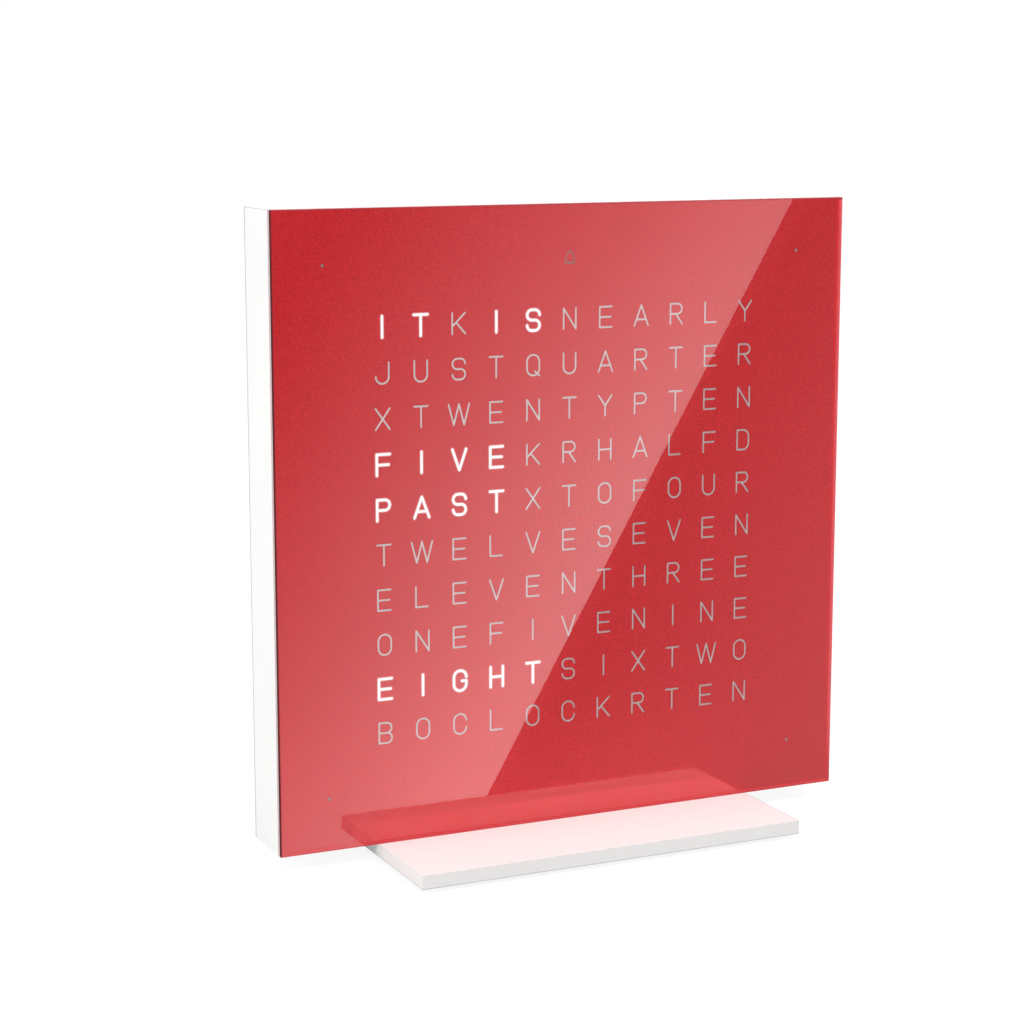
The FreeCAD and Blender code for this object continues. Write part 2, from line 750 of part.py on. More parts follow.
# ---------------------------------------------------------------- stand
def stand_bracket():
    """Steel plate bent up behind the clock, with blind seats for the magnets in its upright."""
    outer_bend = stand_bend_radius + stand_thickness
    front_y = face_y - stand_reach
    bend_y = upright_y - stand_bend_radius                # centre line of the bend
    bend_z = floor_z + stand_bend_radius
    left_x = -upright_width / 2
    base = Part.makeBox(stand_width, bend_y - front_y, stand_thickness,
                        Vector(-stand_width / 2, front_y, pad_thickness))
    upright = Part.makeBox(upright_width, stand_thickness, upright_top_z - bend_z,
                           Vector(left_x, upright_y, bend_z))
    axis = Vector(1, 0, 0)
    bend = Part.makeCylinder(outer_bend, upright_width, Vector(left_x, bend_y, bend_z), axis)
    inside = Part.makeCylinder(stand_bend_radius, upright_width, Vector(left_x, bend_y, bend_z), axis)
    bend = bend.cut(inside)
    quarter = Part.makeBox(upright_width, outer_bend, outer_bend,
                           Vector(left_x, bend_y, bend_z - outer_bend))
    bracket = base.fuse(bend.common(quarter)).fuse(upright).removeSplitter()
    upper = [e for e in bracket.Edges if e.BoundBox.ZMin > upright_top_z - seat_fit]
    bracket = bracket.makeChamfer(stand_edge_chamfer, upper)
    seats = [rod(stand_magnet_radius + seat_fit, stand_magnet_thickness, x, upright_y, z)
             for x, z in stand_magnet_places]
    return cut_all(bracket, seats)


def stand_magnets():
    """Disc magnets in the upright, flush with its front."""
    return Part.makeCompound(
        [rod(stand_magnet_radius, stand_magnet_thickness, x, upright_y, z) for x, z in stand_magnet_places]
    )


def stand_pads():
    """Rubber pads under the stand's corners."""
    x_inset = stand_width / 2 - pad_side_inset
    front = face_y - stand_reach + pad_front_inset
    rear = upright_y - stand_bend_radius - pad_rear_inset
    pads = []
    for x, y in ((-x_inset, front), (x_inset, front), (-x_inset, rear), (x_inset, rear)):
        pad = Part.makeCylinder(pad_radius, pad_thickness, Vector(x, y, 0))
        lowest = min(pad.Edges, key=lambda e: e.BoundBox.ZMax)
        pads.append(pad.makeFillet(pad_thickness / 4, [lowest]))
    return Part.makeCompound(pads)


# ---------------------------------------------------------------- writing the parts
def all_parts():
    """Every sub-part by its node's name."""
    parts = {
        "cover_plate": cover_plate(),
        "letter_mask": letter_mask(),
        "diffuser_film": diffuser_film(),
        "cover_discs": cover_discs(),
        "housing_shell": housing_shell(),
        "light_guide": light_guide(),
        "housing_magnets": housing_magnets(),
        "touch_foil": touch_foil(),
        "led_board": led_board(),
        "letter_leds": letter_leds(),
        "minute_leds": minute_leds(),
        "alarm_led": alarm_led(),
        "board_screws": board_screws(),
        "controller_chip": controller_chip(),
        "driver_chips": driver_chips(),
        "clock_crystal": clock_crystal(),
        "storage_capacitors": storage_capacitors(),
        "voltage_regulator": voltage_regulator(),
        "chip_resistors": chip_resistors(),
        "alarm_sounder": alarm_sounder(),
        "power_inlet": power_inlet(),
        "inlet_pin": inlet_pin(),
        "switch_bases": switch_bases(),
        "rear_cover": rear_cover(),
        "rear_screws": rear_screws(),
        "strike_plate": strike_plate(),
        "stand_bracket": stand_bracket(),
        "stand_magnets": stand_magnets(),
        "stand_pads": stand_pads(),
    }
    for name, x in button_places:
        parts[name + "_button"] = button(x)
        parts[name + "_plunger"] = plunger(x)
    return parts


os.makedirs("parts", exist_ok=True)
for node, shape in all_parts().items():
    shape.exportStep("parts/" + node + ".step")
    print(node, shape.ShapeType, len(shape.Solids), "solids", shape.isValid(), "%.2f" % shape.Volume)
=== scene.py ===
"""Word clock on a bent plate stand: its looks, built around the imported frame.

Metres, in the frame's own axes: X to the right of the face, Y from the face to the back, Z up.
The sections follow the clock as it is put together, from the stand to the lit face.
"""

import math

import bpy
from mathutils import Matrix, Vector


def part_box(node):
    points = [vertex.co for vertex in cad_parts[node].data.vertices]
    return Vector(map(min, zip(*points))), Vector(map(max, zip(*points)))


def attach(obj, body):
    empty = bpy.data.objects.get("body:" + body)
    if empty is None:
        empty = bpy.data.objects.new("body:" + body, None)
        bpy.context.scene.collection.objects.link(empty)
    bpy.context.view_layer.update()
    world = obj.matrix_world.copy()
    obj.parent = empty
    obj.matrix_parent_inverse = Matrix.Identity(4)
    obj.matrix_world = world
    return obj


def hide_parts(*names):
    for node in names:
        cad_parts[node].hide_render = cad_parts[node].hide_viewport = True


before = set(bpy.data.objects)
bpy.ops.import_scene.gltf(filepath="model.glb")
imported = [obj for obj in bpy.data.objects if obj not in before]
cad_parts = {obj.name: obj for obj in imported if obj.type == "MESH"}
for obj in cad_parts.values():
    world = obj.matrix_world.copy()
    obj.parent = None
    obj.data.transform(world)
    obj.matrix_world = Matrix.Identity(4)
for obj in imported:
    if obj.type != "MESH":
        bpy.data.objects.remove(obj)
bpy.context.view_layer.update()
bpy.ops.object.select_all(action="DESELECT")


# ---------------------------------------------------------------- stand bracket
# Real piece: mild steel plate, 3 mm, laser cut and bent up behind the clock, which lifts off it.
# Finish: white polyester powder, baked on. It flows out to a satin skin with a fine orange peel.
# A fine grey line of painted shade is drawn along its lower edges and the right upper one.
def linear(code):
    """An sRGB hex value as a linear colour."""
    parts = [int(code[i:i + 2], 16) / 255 for i in (1, 3, 5)]
    return tuple(c / 12.92 if c <= 0.04045 else ((c + 0.055) / 1.055) ** 2.4 for c in parts) + (1.0,)


def add(tree, kind, sockets=None, tones=(), **settings):
    """Adds a node with its settings, its sockets' values or the outputs that feed them, and the
    places and colours of a colour ramp's ends."""
    node = tree.nodes.new("ShaderNode" + kind)
    for name, value in settings.items():
        setattr(node, name, value)
    for key, value in (sockets or {}).items():
        if isinstance(value, bpy.types.NodeSocket):
            tree.links.new(value, node.inputs[key])
        else:
            node.inputs[key].default_value = value
    for number, (position, code) in enumerate(tones):
        node.color_ramp.elements[number].position = position
        node.color_ramp.elements[number].color = linear(code)
    return node


def per_mm(size):
    """Noise scale whose grains are that many millimetres wide."""
    return 1000.0 / size


def material(name):
    """A new material with an empty node tree."""
    made = bpy.data.materials.new(name)
    made.use_nodes = True
    made.node_tree.nodes.clear()
    return made


def dress(made, shader, *node_names):
    """Ends the material with that shader and puts it on CAD nodes."""
    add(made.node_tree, "OutputMaterial", {"Surface": shader.outputs[0]})
    for name in node_names:
        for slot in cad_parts[name].material_slots:
            slot.material = made


def near(tree, axis, low, high, width):
    """An output that is 1 within a width of the low and high ends of a range along an axis."""
    offset = add(tree, "Math", {0: axis, 1: (low + high) / 2}, operation="SUBTRACT")
    away = add(tree, "Math", {0: offset.outputs[0]}, operation="ABSOLUTE")
    return add(tree, "Math", {0: away.outputs[0], 1: (high - low) / 2, 2: width},
               operation="COMPARE").outputs[0]


def both(tree, first, second):
    """The product of two outputs."""
    return add(tree, "Math", {0: first, 1: second}, operation="MULTIPLY").outputs[0]


def either(tree, *outputs):
    """The largest of several outputs."""
    largest = outputs[0]
    for output in outputs[1:]:
        largest = add(tree, "Math", {0: largest, 1: output}, operation="MAXIMUM").outputs[0]
    return largest


powder_coat = material("white_polyester_powder_coat")
tree = powder_coat.node_tree
place = add(tree, "TexCoord").outputs["Object"]
peel = add(tree, "TexNoise", {"Vector": place, "Scale": per_mm(0.9), "Detail": 2.0})
specks = add(tree, "TexNoise", {"Vector": place, "Scale": per_mm(0.25), "Detail": 1.0})
shade = add(tree, "ValToRGB", {"Fac": specks.outputs["Fac"]},
            tones=((0.35, "#ECECEB"), (0.65, "#F0F0EF")))
stand_low, stand_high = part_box("stand_bracket")
plate_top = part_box("housing_shell")[0].z
stand_edge_shade_width = 0.00018                  # how far from an edge the painted shade line reaches
axes = add(tree, "SeparateXYZ", {0: place})
ends = near(tree, axes.outputs["X"], stand_low.x, stand_high.x, stand_edge_shade_width)
front = near(tree, axes.outputs["Y"], stand_low.y, stand_low.y, stand_edge_shade_width)
bottom = near(tree, axes.outputs["Z"], stand_low.z, stand_low.z, stand_edge_shade_width)
top = near(tree, axes.outputs["Z"], plate_top, plate_top, stand_edge_shade_width)
right = near(tree, axes.outputs["X"], stand_high.x, stand_high.x, stand_edge_shade_width)
# Painted shade: a fine grey line along the lower edges and the right upper one.
painted_stand_edge_shade = either(tree, both(tree, ends, bottom), both(tree, front, bottom), both(tree, right, top))
coat_tone_with_edge_shade = add(tree, "Mix", {0: painted_stand_edge_shade, 6: shade.outputs["Color"], 7: linear("#C9C9C9")},
             data_type="RGBA")
satin = add(tree, "MapRange", {"Value": peel.outputs["Fac"], "To Min": 0.38, "To Max": 0.52})
relief = add(tree, "Bump", {"Height": peel.outputs["Fac"], "Strength": 0.25, "Distance": 0.00004})
shader = add(tree, "BsdfPrincipled", {
    "Base Color": coat_tone_with_edge_shade.outputs[2], "Roughness": satin.outputs[0], "IOR": 1.5,
    "Normal": relief.outputs[0]})
dress(powder_coat, shader, "stand_bracket")


# ---------------------------------------------------------------- magnets
# Real pieces: pressed neodymium discs, pushed into the stand's upright and into the light guide.
# Finish: nickel plating over tumbled edges, so a soft grey mirror with a slightly warm tone.
nickel = material("nickel_plated_magnet")
tree = nickel.node_tree
place = add(tree, "TexCoord").outputs["Object"]
tumble = add(tree, "TexNoise", {"Vector": place, "Scale": per_mm(0.5), "Detail": 4.0})
tone = add(tree, "ValToRGB", {"Fac": tumble.outputs["Fac"]}, tones=((0.3, "#B9B4A9"), (0.7, "#CFCBC2")))
polish = add(tree, "MapRange", {"Value": tumble.outputs["Fac"], "To Min": 0.18, "To Max": 0.34})
shader = add(tree, "BsdfPrincipled", {
    "Base Color": tone.outputs["Color"], "Metallic": 1.0, "Roughness": polish.outputs[0]})
dress(nickel, shader, "stand_magnets", "housing_magnets")


# ---------------------------------------------------------------- stand pads
# Real pieces: die-cut rubber discs with an adhesive back, under the stand's four corners.
# Finish: matt light grey rubber with a fine pitted skin that picks up a little dust.
rubber = material("matt_grey_rubber")
tree = rubber.node_tree
place = add(tree, "TexCoord").outputs["Object"]
pits = add(tree, "TexVoronoi", {"Vector": place, "Scale": per_mm(0.35)})
dust = add(tree, "TexNoise", {"Vector": place, "Scale": per_mm(3.0), "Detail": 5.0})
tone = add(tree, "ValToRGB", {"Fac": dust.outputs["Fac"]}, tones=((0.4, "#BDBEBF"), (0.75, "#CCCDCE")))
relief = add(tree, "Bump", {"Height": pits.outputs["Distance"], "Strength": 0.4, "Distance": 0.00005})
shader = add(tree, "BsdfPrincipled", {
    "Base Color": tone.outputs["Color"], "Roughness": 0.82, "IOR": 1.5, "Normal": relief.outputs[0]})
dress(rubber, shader, "stand_pads")


# ---------------------------------------------------------------- housing and rear cover
# Real pieces: injection-moulded white ABS, a square tube with a front ledge and the back that
# closes it. Finish: the mould is spark eroded, which leaves an even, very fine satin grain. Thin grey
# lines of painted shade are drawn along the outer edges, darker along the back's top and bottom edges.
moulded_abs = material("white_satin_abs")
tree = moulded_abs.node_tree
place = add(tree, "TexCoord").outputs["Object"]
grain = add(tree, "TexNoise", {"Vector": place, "Scale": per_mm(0.3), "Detail": 2.0})
flow = add(tree, "TexNoise", {"Vector": place, "Scale": per_mm(40.0), "Detail": 2.0})
tone = add(tree, "ValToRGB", {"Fac": flow.outputs["Fac"]}, tones=((0.35, "#F0F0EF"), (0.65, "#F4F4F3")))
shell_low, shell_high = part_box("housing_shell")
housing_edge_shade_width = 0.0002                # width of the painted shade lines along the outer edges
back_edge_shade_width = 0.00055                  # how far from the back the painted shade reaches
axes = add(tree, "SeparateXYZ", {0: place})
sides = near(tree, axes.outputs["X"], shell_low.x, shell_high.x, housing_edge_shade_width)
rear = near(tree, axes.outputs["Y"], shell_high.y, shell_high.y, back_edge_shade_width)
ends = near(tree, axes.outputs["Z"], shell_low.z, shell_high.z, housing_edge_shade_width)
# Painted shade: grey lines along the outer edges, and a darker grey along the back's top and bottom
# edges.
line = either(tree, both(tree, sides, rear), both(tree, sides, ends))
lined = add(tree, "Mix", {0: line, 6: tone.outputs["Color"], 7: linear("#BCBCBC")},
            data_type="RGBA")
back_rim_shade = both(tree, rear, ends)
moulded = add(tree, "Mix", {0: back_rim_shade, 6: lined.outputs[2], 7: linear("#A0A0A0")},
              data_type="RGBA")
satin = add(tree, "MapRange", {"Value": grain.outputs["Fac"], "To Min": 0.42, "To Max": 0.55})
relief = add(tree, "Bump", {"Height": grain.outputs["Fac"], "Strength": 0.3, "Distance": 0.00002})
shader = add(tree, "BsdfPrincipled", {
    "Base Color": moulded.outputs[2], "Roughness": satin.outputs[0], "IOR": 1.53,
    "Normal": relief.outputs[0]})
dress(moulded_abs, shader, "housing_shell", "rear_cover")


# ---------------------------------------------------------------- LEDs and the words they light
# Real pieces: one white surface-mounted LED under each letter, dot and the bell, a moulded white
# package with a round well of yellow phosphor. Those of the words "it is five past eight" are on.
words_on = ((0, 0, 1), (0, 3, 4), (3, 0, 3), (4, 0, 3), (8, 0, 4))   # row, first and last column
led_low, led_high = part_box("letter_leds")
led_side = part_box("alarm_led")[1].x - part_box("alarm_led")[0].x
columns, rows = 11, 10
column_pitch = (led_high.x - led_low.x - led_side) / (columns - 1)
row_pitch = (led_high.z - led_low.z - led_side) / (rows - 1)
field_z = (led_high.z + led_low.z) / 2


def cell_numbers(tree, place):
    """Outputs with the column and row, counted from 0 at the top left, of the letter cell at a place."""
    axes = add(tree, "SeparateXYZ", {0: place})
    across = add(tree, "Math", {0: axes.outputs["X"], 1: 1 / column_pitch, 2: (columns - 1) / 2},
                 operation="MULTIPLY_ADD")
    down = add(tree, "Math", {0: axes.outputs["Z"], 1: -1 / row_pitch,
                              2: field_z / row_pitch + (rows - 1) / 2}, operation="MULTIPLY_ADD")
    return across.outputs[0], down.outputs[0]


def words_mask(tree, place):
    """An output that is 1 in the cells of the words that are on, and 0 elsewhere."""
    across, down = cell_numbers(tree, place)
    total = None
    for row, first, last in words_on:
        in_row = add(tree, "Math", {0: down, 1: float(row), 2: 0.5}, operation="COMPARE")
        in_word = add(tree, "Math", {0: across, 1: (first + last) / 2, 2: (last - first) / 2 + 0.5},
                      operation="COMPARE")
        cells = both(tree, in_row.outputs[0], in_word.outputs[0])
        total = cells if total is None else add(
            tree, "Math", {0: total, 1: cells}, operation="ADD").outputs[0]
    return total


well_radius = 0.085                  # of a cell's pitch
led_package = material("led_package_with_phosphor")
tree = led_package.node_tree
place = add(tree, "TexCoord").outputs["Object"]
across, down = cell_numbers(tree, place)
whole_x = add(tree, "Math", {0: across}, operation="ROUND")
whole_z = add(tree, "Math", {0: down}, operation="ROUND")
from_x = add(tree, "Math", {0: across, 1: whole_x.outputs[0]}, operation="SUBTRACT")
from_z = add(tree, "Math", {0: down, 1: whole_z.outputs[0]}, operation="SUBTRACT")
offset = add(tree, "CombineXYZ", {0: from_x.outputs[0], 1: from_z.outputs[0]})
away = add(tree, "VectorMath", {0: offset.outputs[0]}, operation="LENGTH")
well = add(tree, "Math", {0: away.outputs["Value"], 1: well_radius}, operation="LESS_THAN")
package = add(tree, "Mix", {0: well.outputs[0], 6: linear("#ECEBE4"), 7: linear("#E3D98A")},
              data_type="RGBA")
light = both(tree, words_mask(tree, place), well.outputs[0])
shader = add(tree, "BsdfPrincipled", {
    "Base Color": package.outputs[2], "Roughness": 0.45, "IOR": 1.5,
    "Emission Color": linear("#FFFBF0"), "Emission Strength": light})
dress(led_package, shader, "letter_leds", "minute_leds", "alarm_led")


# ---------------------------------------------------------------- light guide
# Real piece: one moulding of white polycarbonate, a grid of deep cells that keeps each letter's
# light to itself. Finish: matt inside. The walls of a cell whose LED is on carry painted light.
wall_glow = 0.35                     # strength of the painted light on the walls of a lit cell
cell_white = material("matt_white_polycarbonate")
tree = cell_white.node_tree
place = add(tree, "TexCoord").outputs["Object"]
grain = add(tree, "TexNoise", {"Vector": place, "Scale": per_mm(0.4), "Detail": 2.0})
tone = add(tree, "ValToRGB", {"Fac": grain.outputs["Fac"]}, tones=((0.3, "#E9E9E7"), (0.7, "#F1F1EF")))
relief = add(tree, "Bump", {"Height": grain.outputs["Fac"], "Strength": 0.3, "Distance": 0.00003})
# Painted light: the walls of the cells of lit words glow as if lit by their LED.
lit_wall = both(tree, words_mask(tree, place), wall_glow)
shader = add(tree, "BsdfPrincipled", {
    "Base Color": tone.outputs["Color"], "Roughness": 0.6, "IOR": 1.58,
    "Normal": relief.outputs[0], "Emission Color": linear("#FFFCF5"),
    "Emission Strength": lit_wall})
dress(cell_white, shader, "light_guide")


# ---------------------------------------------------------------- touch foil
# Real piece: adhesive copper foil under the top wall, with a tab bent down onto the board's back,
# which feels a tap on the top. Finish: rolled copper, bright with faint lines along the roll.
roll_lines = (0.03, 1.0, 1.0)        # draws the pattern out along X, the way the foil was rolled
copper = material("rolled_copper_foil")
tree = copper.node_tree
place = add(tree, "TexCoord").outputs["Object"]
drawn = add(tree, "Mapping", {"Vector": place, "Scale": roll_lines})
lines = add(tree, "TexNoise", {"Vector": drawn.outputs[0], "Scale": per_mm(0.15), "Detail": 2.0})
tone = add(tree, "ValToRGB", {"Fac": lines.outputs["Fac"]}, tones=((0.3, "#B96F4D"), (0.7, "#D98E68")))
shader = add(tree, "BsdfPrincipled", {
    "Base Color": tone.outputs["Color"], "Metallic": 1.0, "Roughness": 0.32})
dress(copper, shader, "touch_foil")


# ---------------------------------------------------------------- LED board
# Real piece: 1.6 mm glass-fibre board under white solder mask, clamped behind the light guide.
# Finish: satin mask; tinned pads beside each LED, and copper tracks that show as pale ridges.
pad_half_width = 0.16                # these are shares of a cell's pitch
pad_half_height = 0.075
track_below = 0.3                    # from a row of LEDs to the track under it
track_beside = 0.35                  # from a column of LEDs to the track beside it
track_half_width = 0.025
solder_mask = material("white_solder_mask")
tree = solder_mask.node_tree
place = add(tree, "TexCoord").outputs["Object"]
across, down = cell_numbers(tree, place)
whole_x = add(tree, "Math", {0: across}, operation="ROUND")
whole_z = add(tree, "Math", {0: down}, operation="ROUND")
near_x = add(tree, "Math", {0: across, 1: whole_x.outputs[0], 2: pad_half_width}, operation="COMPARE")
near_z = add(tree, "Math", {0: down, 1: whole_z.outputs[0], 2: pad_half_height}, operation="COMPARE")
pad = both(tree, near_x.outputs[0], near_z.outputs[0])
track_at = add(tree, "Math", {0: down, 1: track_below}, operation="ADD")
track_row = add(tree, "Math", {0: track_at.outputs[0]}, operation="ROUND")
track = add(tree, "Math", {0: track_at.outputs[0], 1: track_row.outputs[0], 2: track_half_width},
            operation="COMPARE")
riser_at = add(tree, "Math", {0: across, 1: track_beside}, operation="ADD")
riser_column = add(tree, "Math", {0: riser_at.outputs[0]}, operation="ROUND")
riser = add(tree, "Math", {0: riser_at.outputs[0], 1: riser_column.outputs[0], 2: track_half_width},
            operation="COMPARE")
tracks = either(tree, track.outputs[0], riser.outputs[0])
masked = add(tree, "Mix", {0: tracks, 6: linear("#E6E8E6"), 7: linear("#D5DBD6")}, data_type="RGBA")
skin = add(tree, "Mix", {0: pad, 6: masked.outputs[2], 7: linear("#C9C9C6")}, data_type="RGBA")
relief = add(tree, "Bump", {"Height": tracks, "Strength": 0.5, "Distance": 0.00004})
shader = add(tree, "BsdfPrincipled", {
    "Base Color": skin.outputs[2], "Metallic": pad, "Roughness": 0.4, "IOR": 1.5,
    "Normal": relief.outputs[0]})
dress(solder_mask, shader, "led_board")


# ---------------------------------------------------------------- steel parts
# Real pieces: cover discs, strike plate, screws and the crystal's can, all of mild steel.
# Finish: zinc plated and clear passivated, a cool grey with faint crystalline mottling.
zinc = material("zinc_plated_steel")
tree = zinc.node_tree
place = add(tree, "TexCoord").outputs["Object"]
mottle = add(tree, "TexVoronoi", {"Vector": place, "Scale": per_mm(0.6)}, feature="SMOOTH_F1")
tone = add(tree, "ValToRGB", {"Fac": mottle.outputs["Distance"]},
           tones=((0.1, "#B4B8BC"), (0.6, "#C9CCCF")))
dull = add(tree, "MapRange", {"Value": mottle.outputs["Distance"], "To Min": 0.28, "To Max": 0.42})
shader = add(tree, "BsdfPrincipled", {
    "Base Color": tone.outputs["Color"], "Metallic": 1.0, "Roughness": dull.outputs[0]})
dress(zinc, shader, "cover_discs", "strike_plate", "board_screws", "rear_screws", "clock_crystal")


# ---------------------------------------------------------------- chips, regulator and resistors
# Real pieces: black epoxy packages soldered to the board's back, with tinned leads and end caps.
# Finish: the epoxy is matt with fine filler grains; whatever lies outside the bodies is metal.
def chip_material(name, bodies):
    """Black epoxy inside the given x, z, half width, half height boxes (metres), tin outside them."""
    made = material(name)
    tree = made.node_tree
    place = add(tree, "TexCoord").outputs["Object"]
    axes = add(tree, "SeparateXYZ", {0: place})
    in_bodies = []
    for x, z, half_width, half_height in bodies:
        in_x = add(tree, "Math", {0: axes.outputs["X"], 1: x, 2: half_width}, operation="COMPARE")
        in_z = add(tree, "Math", {0: axes.outputs["Z"], 1: z, 2: half_height}, operation="COMPARE")
        in_bodies.append(both(tree, in_x.outputs[0], in_z.outputs[0]))
    inside = either(tree, *in_bodies)
    filler = add(tree, "TexNoise", {"Vector": place, "Scale": per_mm(0.12), "Detail": 2.0})
    epoxy = add(tree, "ValToRGB", {"Fac": filler.outputs["Fac"]},
                tones=((0.0, "#1B1B1D"), (1.0, "#2D2D30")))
    skin = add(tree, "Mix", {0: inside, 6: linear("#C4C4C0"), 7: epoxy.outputs["Color"]},
               data_type="RGBA")
    metal = add(tree, "Math", {0: 1.0, 1: inside}, operation="SUBTRACT")
    gloss = add(tree, "MapRange", {"Value": inside, "To Min": 0.25, "To Max": 0.6})
    shader = add(tree, "BsdfPrincipled", {
        "Base Color": skin.outputs[2], "Metallic": metal.outputs[0], "Roughness": gloss.outputs[0],
        "IOR": 1.55})
    return made, shader


lead_length = 0.001
low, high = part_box("controller_chip")
controller_epoxy, shader = chip_material("controller_epoxy_and_tin", [(
    (low.x + high.x) / 2, (low.z + high.z) / 2,
    (high.x - low.x) / 2 - lead_length, (high.z - low.z) / 2 - lead_length)])
dress(controller_epoxy, shader, "controller_chip")
low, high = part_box("driver_chips")
driver_half = 0.0039                 # half the width of a driver chip's body
driver_epoxy, shader = chip_material("driver_epoxy_and_tin", [
    (x, (low.z + high.z) / 2, driver_half, (high.z - low.z) / 2)
    for x in (low.x + driver_half + lead_length, (low.x + high.x) / 2,
              high.x - driver_half - lead_length)])
dress(driver_epoxy, shader, "driver_chips")
low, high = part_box("chip_resistors")
end_cap = 0.0003
resistor_glaze, shader = chip_material("resistor_glaze_and_tin", [
    ((low.x + high.x) / 2, (low.z + high.z) / 2, high.x - low.x, (high.z - low.z) / 2 - end_cap)])
dress(resistor_glaze, shader, "chip_resistors")
low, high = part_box("voltage_regulator")
leg_length = 0.0016
regulator_epoxy, shader = chip_material("regulator_epoxy_and_tin", [
    ((low.x + high.x) / 2, (low.z + high.z) / 2, high.x - low.x, (high.z - low.z) / 2 - leg_length)])
dress(regulator_epoxy, shader, "voltage_regulator")


# ---------------------------------------------------------------- storage capacitors
# Real pieces: three aluminium electrolytic cans that smooth the supply, in clear-lacquered bare
# metal with a dark half moon printed on the end over the negative lead.
low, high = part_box("storage_capacitors")
can_radius = (high.z - low.z) / 2
end_skin = 0.00002                   # what lies this near the can's end counts as the end
moon_start = 0.35                    # the print starts at this share of the radius
can_metal = material("lacquered_aluminium_can")
tree = can_metal.node_tree
place = add(tree, "TexCoord").outputs["Object"]
axes = add(tree, "SeparateXYZ", {0: place})
on_end = add(tree, "Math", {0: axes.outputs["Y"], 1: high.y - end_skin}, operation="GREATER_THAN")
over_lead = add(tree, "Math", {0: axes.outputs["Z"], 1: (low.z + high.z) / 2 + can_radius * moon_start},
                operation="GREATER_THAN")
moon = both(tree, on_end.outputs[0], over_lead.outputs[0])
spun = add(tree, "TexNoise", {"Vector": place, "Scale": per_mm(0.3), "Detail": 3.0})
metal_tone = add(tree, "ValToRGB", {"Fac": spun.outputs["Fac"]},
                 tones=((0.0, "#B9BBBE"), (1.0, "#D6D7D9")))
skin = add(tree, "Mix", {0: moon, 6: metal_tone.outputs["Color"], 7: linear("#26262A")},
           data_type="RGBA")
bare = add(tree, "Math", {0: 1.0, 1: moon}, operation="SUBTRACT")
shader = add(tree, "BsdfPrincipled", {
    "Base Color": skin.outputs[2], "Metallic": bare.outputs[0], "Roughness": 0.3, "Coat Weight": 0.3})
dress(can_metal, shader, "storage_capacitors")


# ---------------------------------------------------------------- sounder, inlet and switch bases
# Real pieces: black nylon mouldings on the board's back: the alarm's sounder, the round inlet for
# the power lead, and the bases and plungers of the four switches. Finish: matt, with a fine grain.
black_mould = material("matt_black_nylon")
tree = black_mould.node_tree
place = add(tree, "TexCoord").outputs["Object"]
grain = add(tree, "TexNoise", {"Vector": place, "Scale": per_mm(0.25), "Detail": 3.0})
tone = add(tree, "ValToRGB", {"Fac": grain.outputs["Fac"]}, tones=((0.0, "#1C1C1E"), (1.0, "#303033")))
relief = add(tree, "Bump", {"Height": grain.outputs["Fac"], "Strength": 0.3, "Distance": 0.00003})
shader = add(tree, "BsdfPrincipled", {
    "Base Color": tone.outputs["Color"], "Roughness": 0.5, "IOR": 1.53, "Normal": relief.outputs[0]})
dress(black_mould, shader, "alarm_sounder", "power_inlet", "switch_bases", "hour_plunger",
      "minute_plunger", "alarm_plunger", "brightness_plunger")


# ---------------------------------------------------------------- inlet pin
# Real piece: the inlet's centre contact, turned from brass with a rounded tip. Finish: bright, with
# the fine rings that the turning leaves round it.
turning_lines = (0.1, 1.0, 0.1)      # draws the pattern out into rings round the pin
brass = material("turned_brass_contact")
tree = brass.node_tree
place = add(tree, "TexCoord").outputs["Object"]
turned = add(tree, "Mapping", {"Vector": place, "Scale": turning_lines})
rings = add(tree, "TexNoise", {"Vector": turned.outputs[0], "Scale": per_mm(0.1), "Detail": 1.0})
tone = add(tree, "ValToRGB", {"Fac": rings.outputs["Fac"]}, tones=((0.0, "#B8923F"), (1.0, "#DDBB6A")))
shader = add(tree, "BsdfPrincipled", {
    "Base Color": tone.outputs["Color"], "Metallic": 1.0, "Roughness": 0.28})
dress(brass, shader, "inlet_pin")


# ---------------------------------------------------------------- push buttons
# Real pieces: four caps guided in the rear cover, moulded in light grey acetal with a finger dish.
# Finish: smooth and slightly waxy, with a gloss and a tone that vary a little.
acetal = material("light_grey_acetal")
tree = acetal.node_tree
place = add(tree, "TexCoord").outputs["Object"]
wax = add(tree, "TexNoise", {"Vector": place, "Scale": per_mm(1.2), "Detail": 3.0})
tone = add(tree, "ValToRGB", {"Fac": wax.outputs["Fac"]}, tones=((0.0, "#B7B9BB"), (1.0, "#C6C8CA")))
gloss = add(tree, "MapRange", {"Value": wax.outputs["Fac"], "To Min": 0.3, "To Max": 0.42})
shader = add(tree, "BsdfPrincipled", {
    "Base Color": tone.outputs["Color"], "Roughness": gloss.outputs[0], "IOR": 1.48})
dress(acetal, shader, "hour_button", "minute_button", "alarm_button", "brightness_button")


# ---------------------------------------------------------------- diffuser film
# Real piece: pale polyester film laid behind the print, which evens out each letter's light.
# Finish: matt; grey over dark cells. A darker painted shade over the open tubes of dots and bell, and
# a little painted sheen where the face mirrors the bright screen, are drawn on its front side alone.
field_half = 0.051                   # the letters end inside this, the dots and the bell are outside
slant_x, slant_z = 0.863, -0.505     # across the slanting edge of the mirrored screen on the face
slant_start = 0.0228
sheen_full, sheen_end = -0.004, 0.002     # from the edge, towards the dark side
painted_sheen_strength = 0.13
film = material("pale_diffuser_film")
tree = film.node_tree
coordinates = add(tree, "TexCoord")
place = coordinates.outputs["Object"]
facing = add(tree, "SeparateXYZ", {0: coordinates.outputs["Normal"]})
front = add(tree, "Math", {0: facing.outputs["Y"], 1: 0.0}, operation="LESS_THAN")
fibre = add(tree, "TexNoise", {"Vector": place, "Scale": per_mm(0.3), "Detail": 2.0})
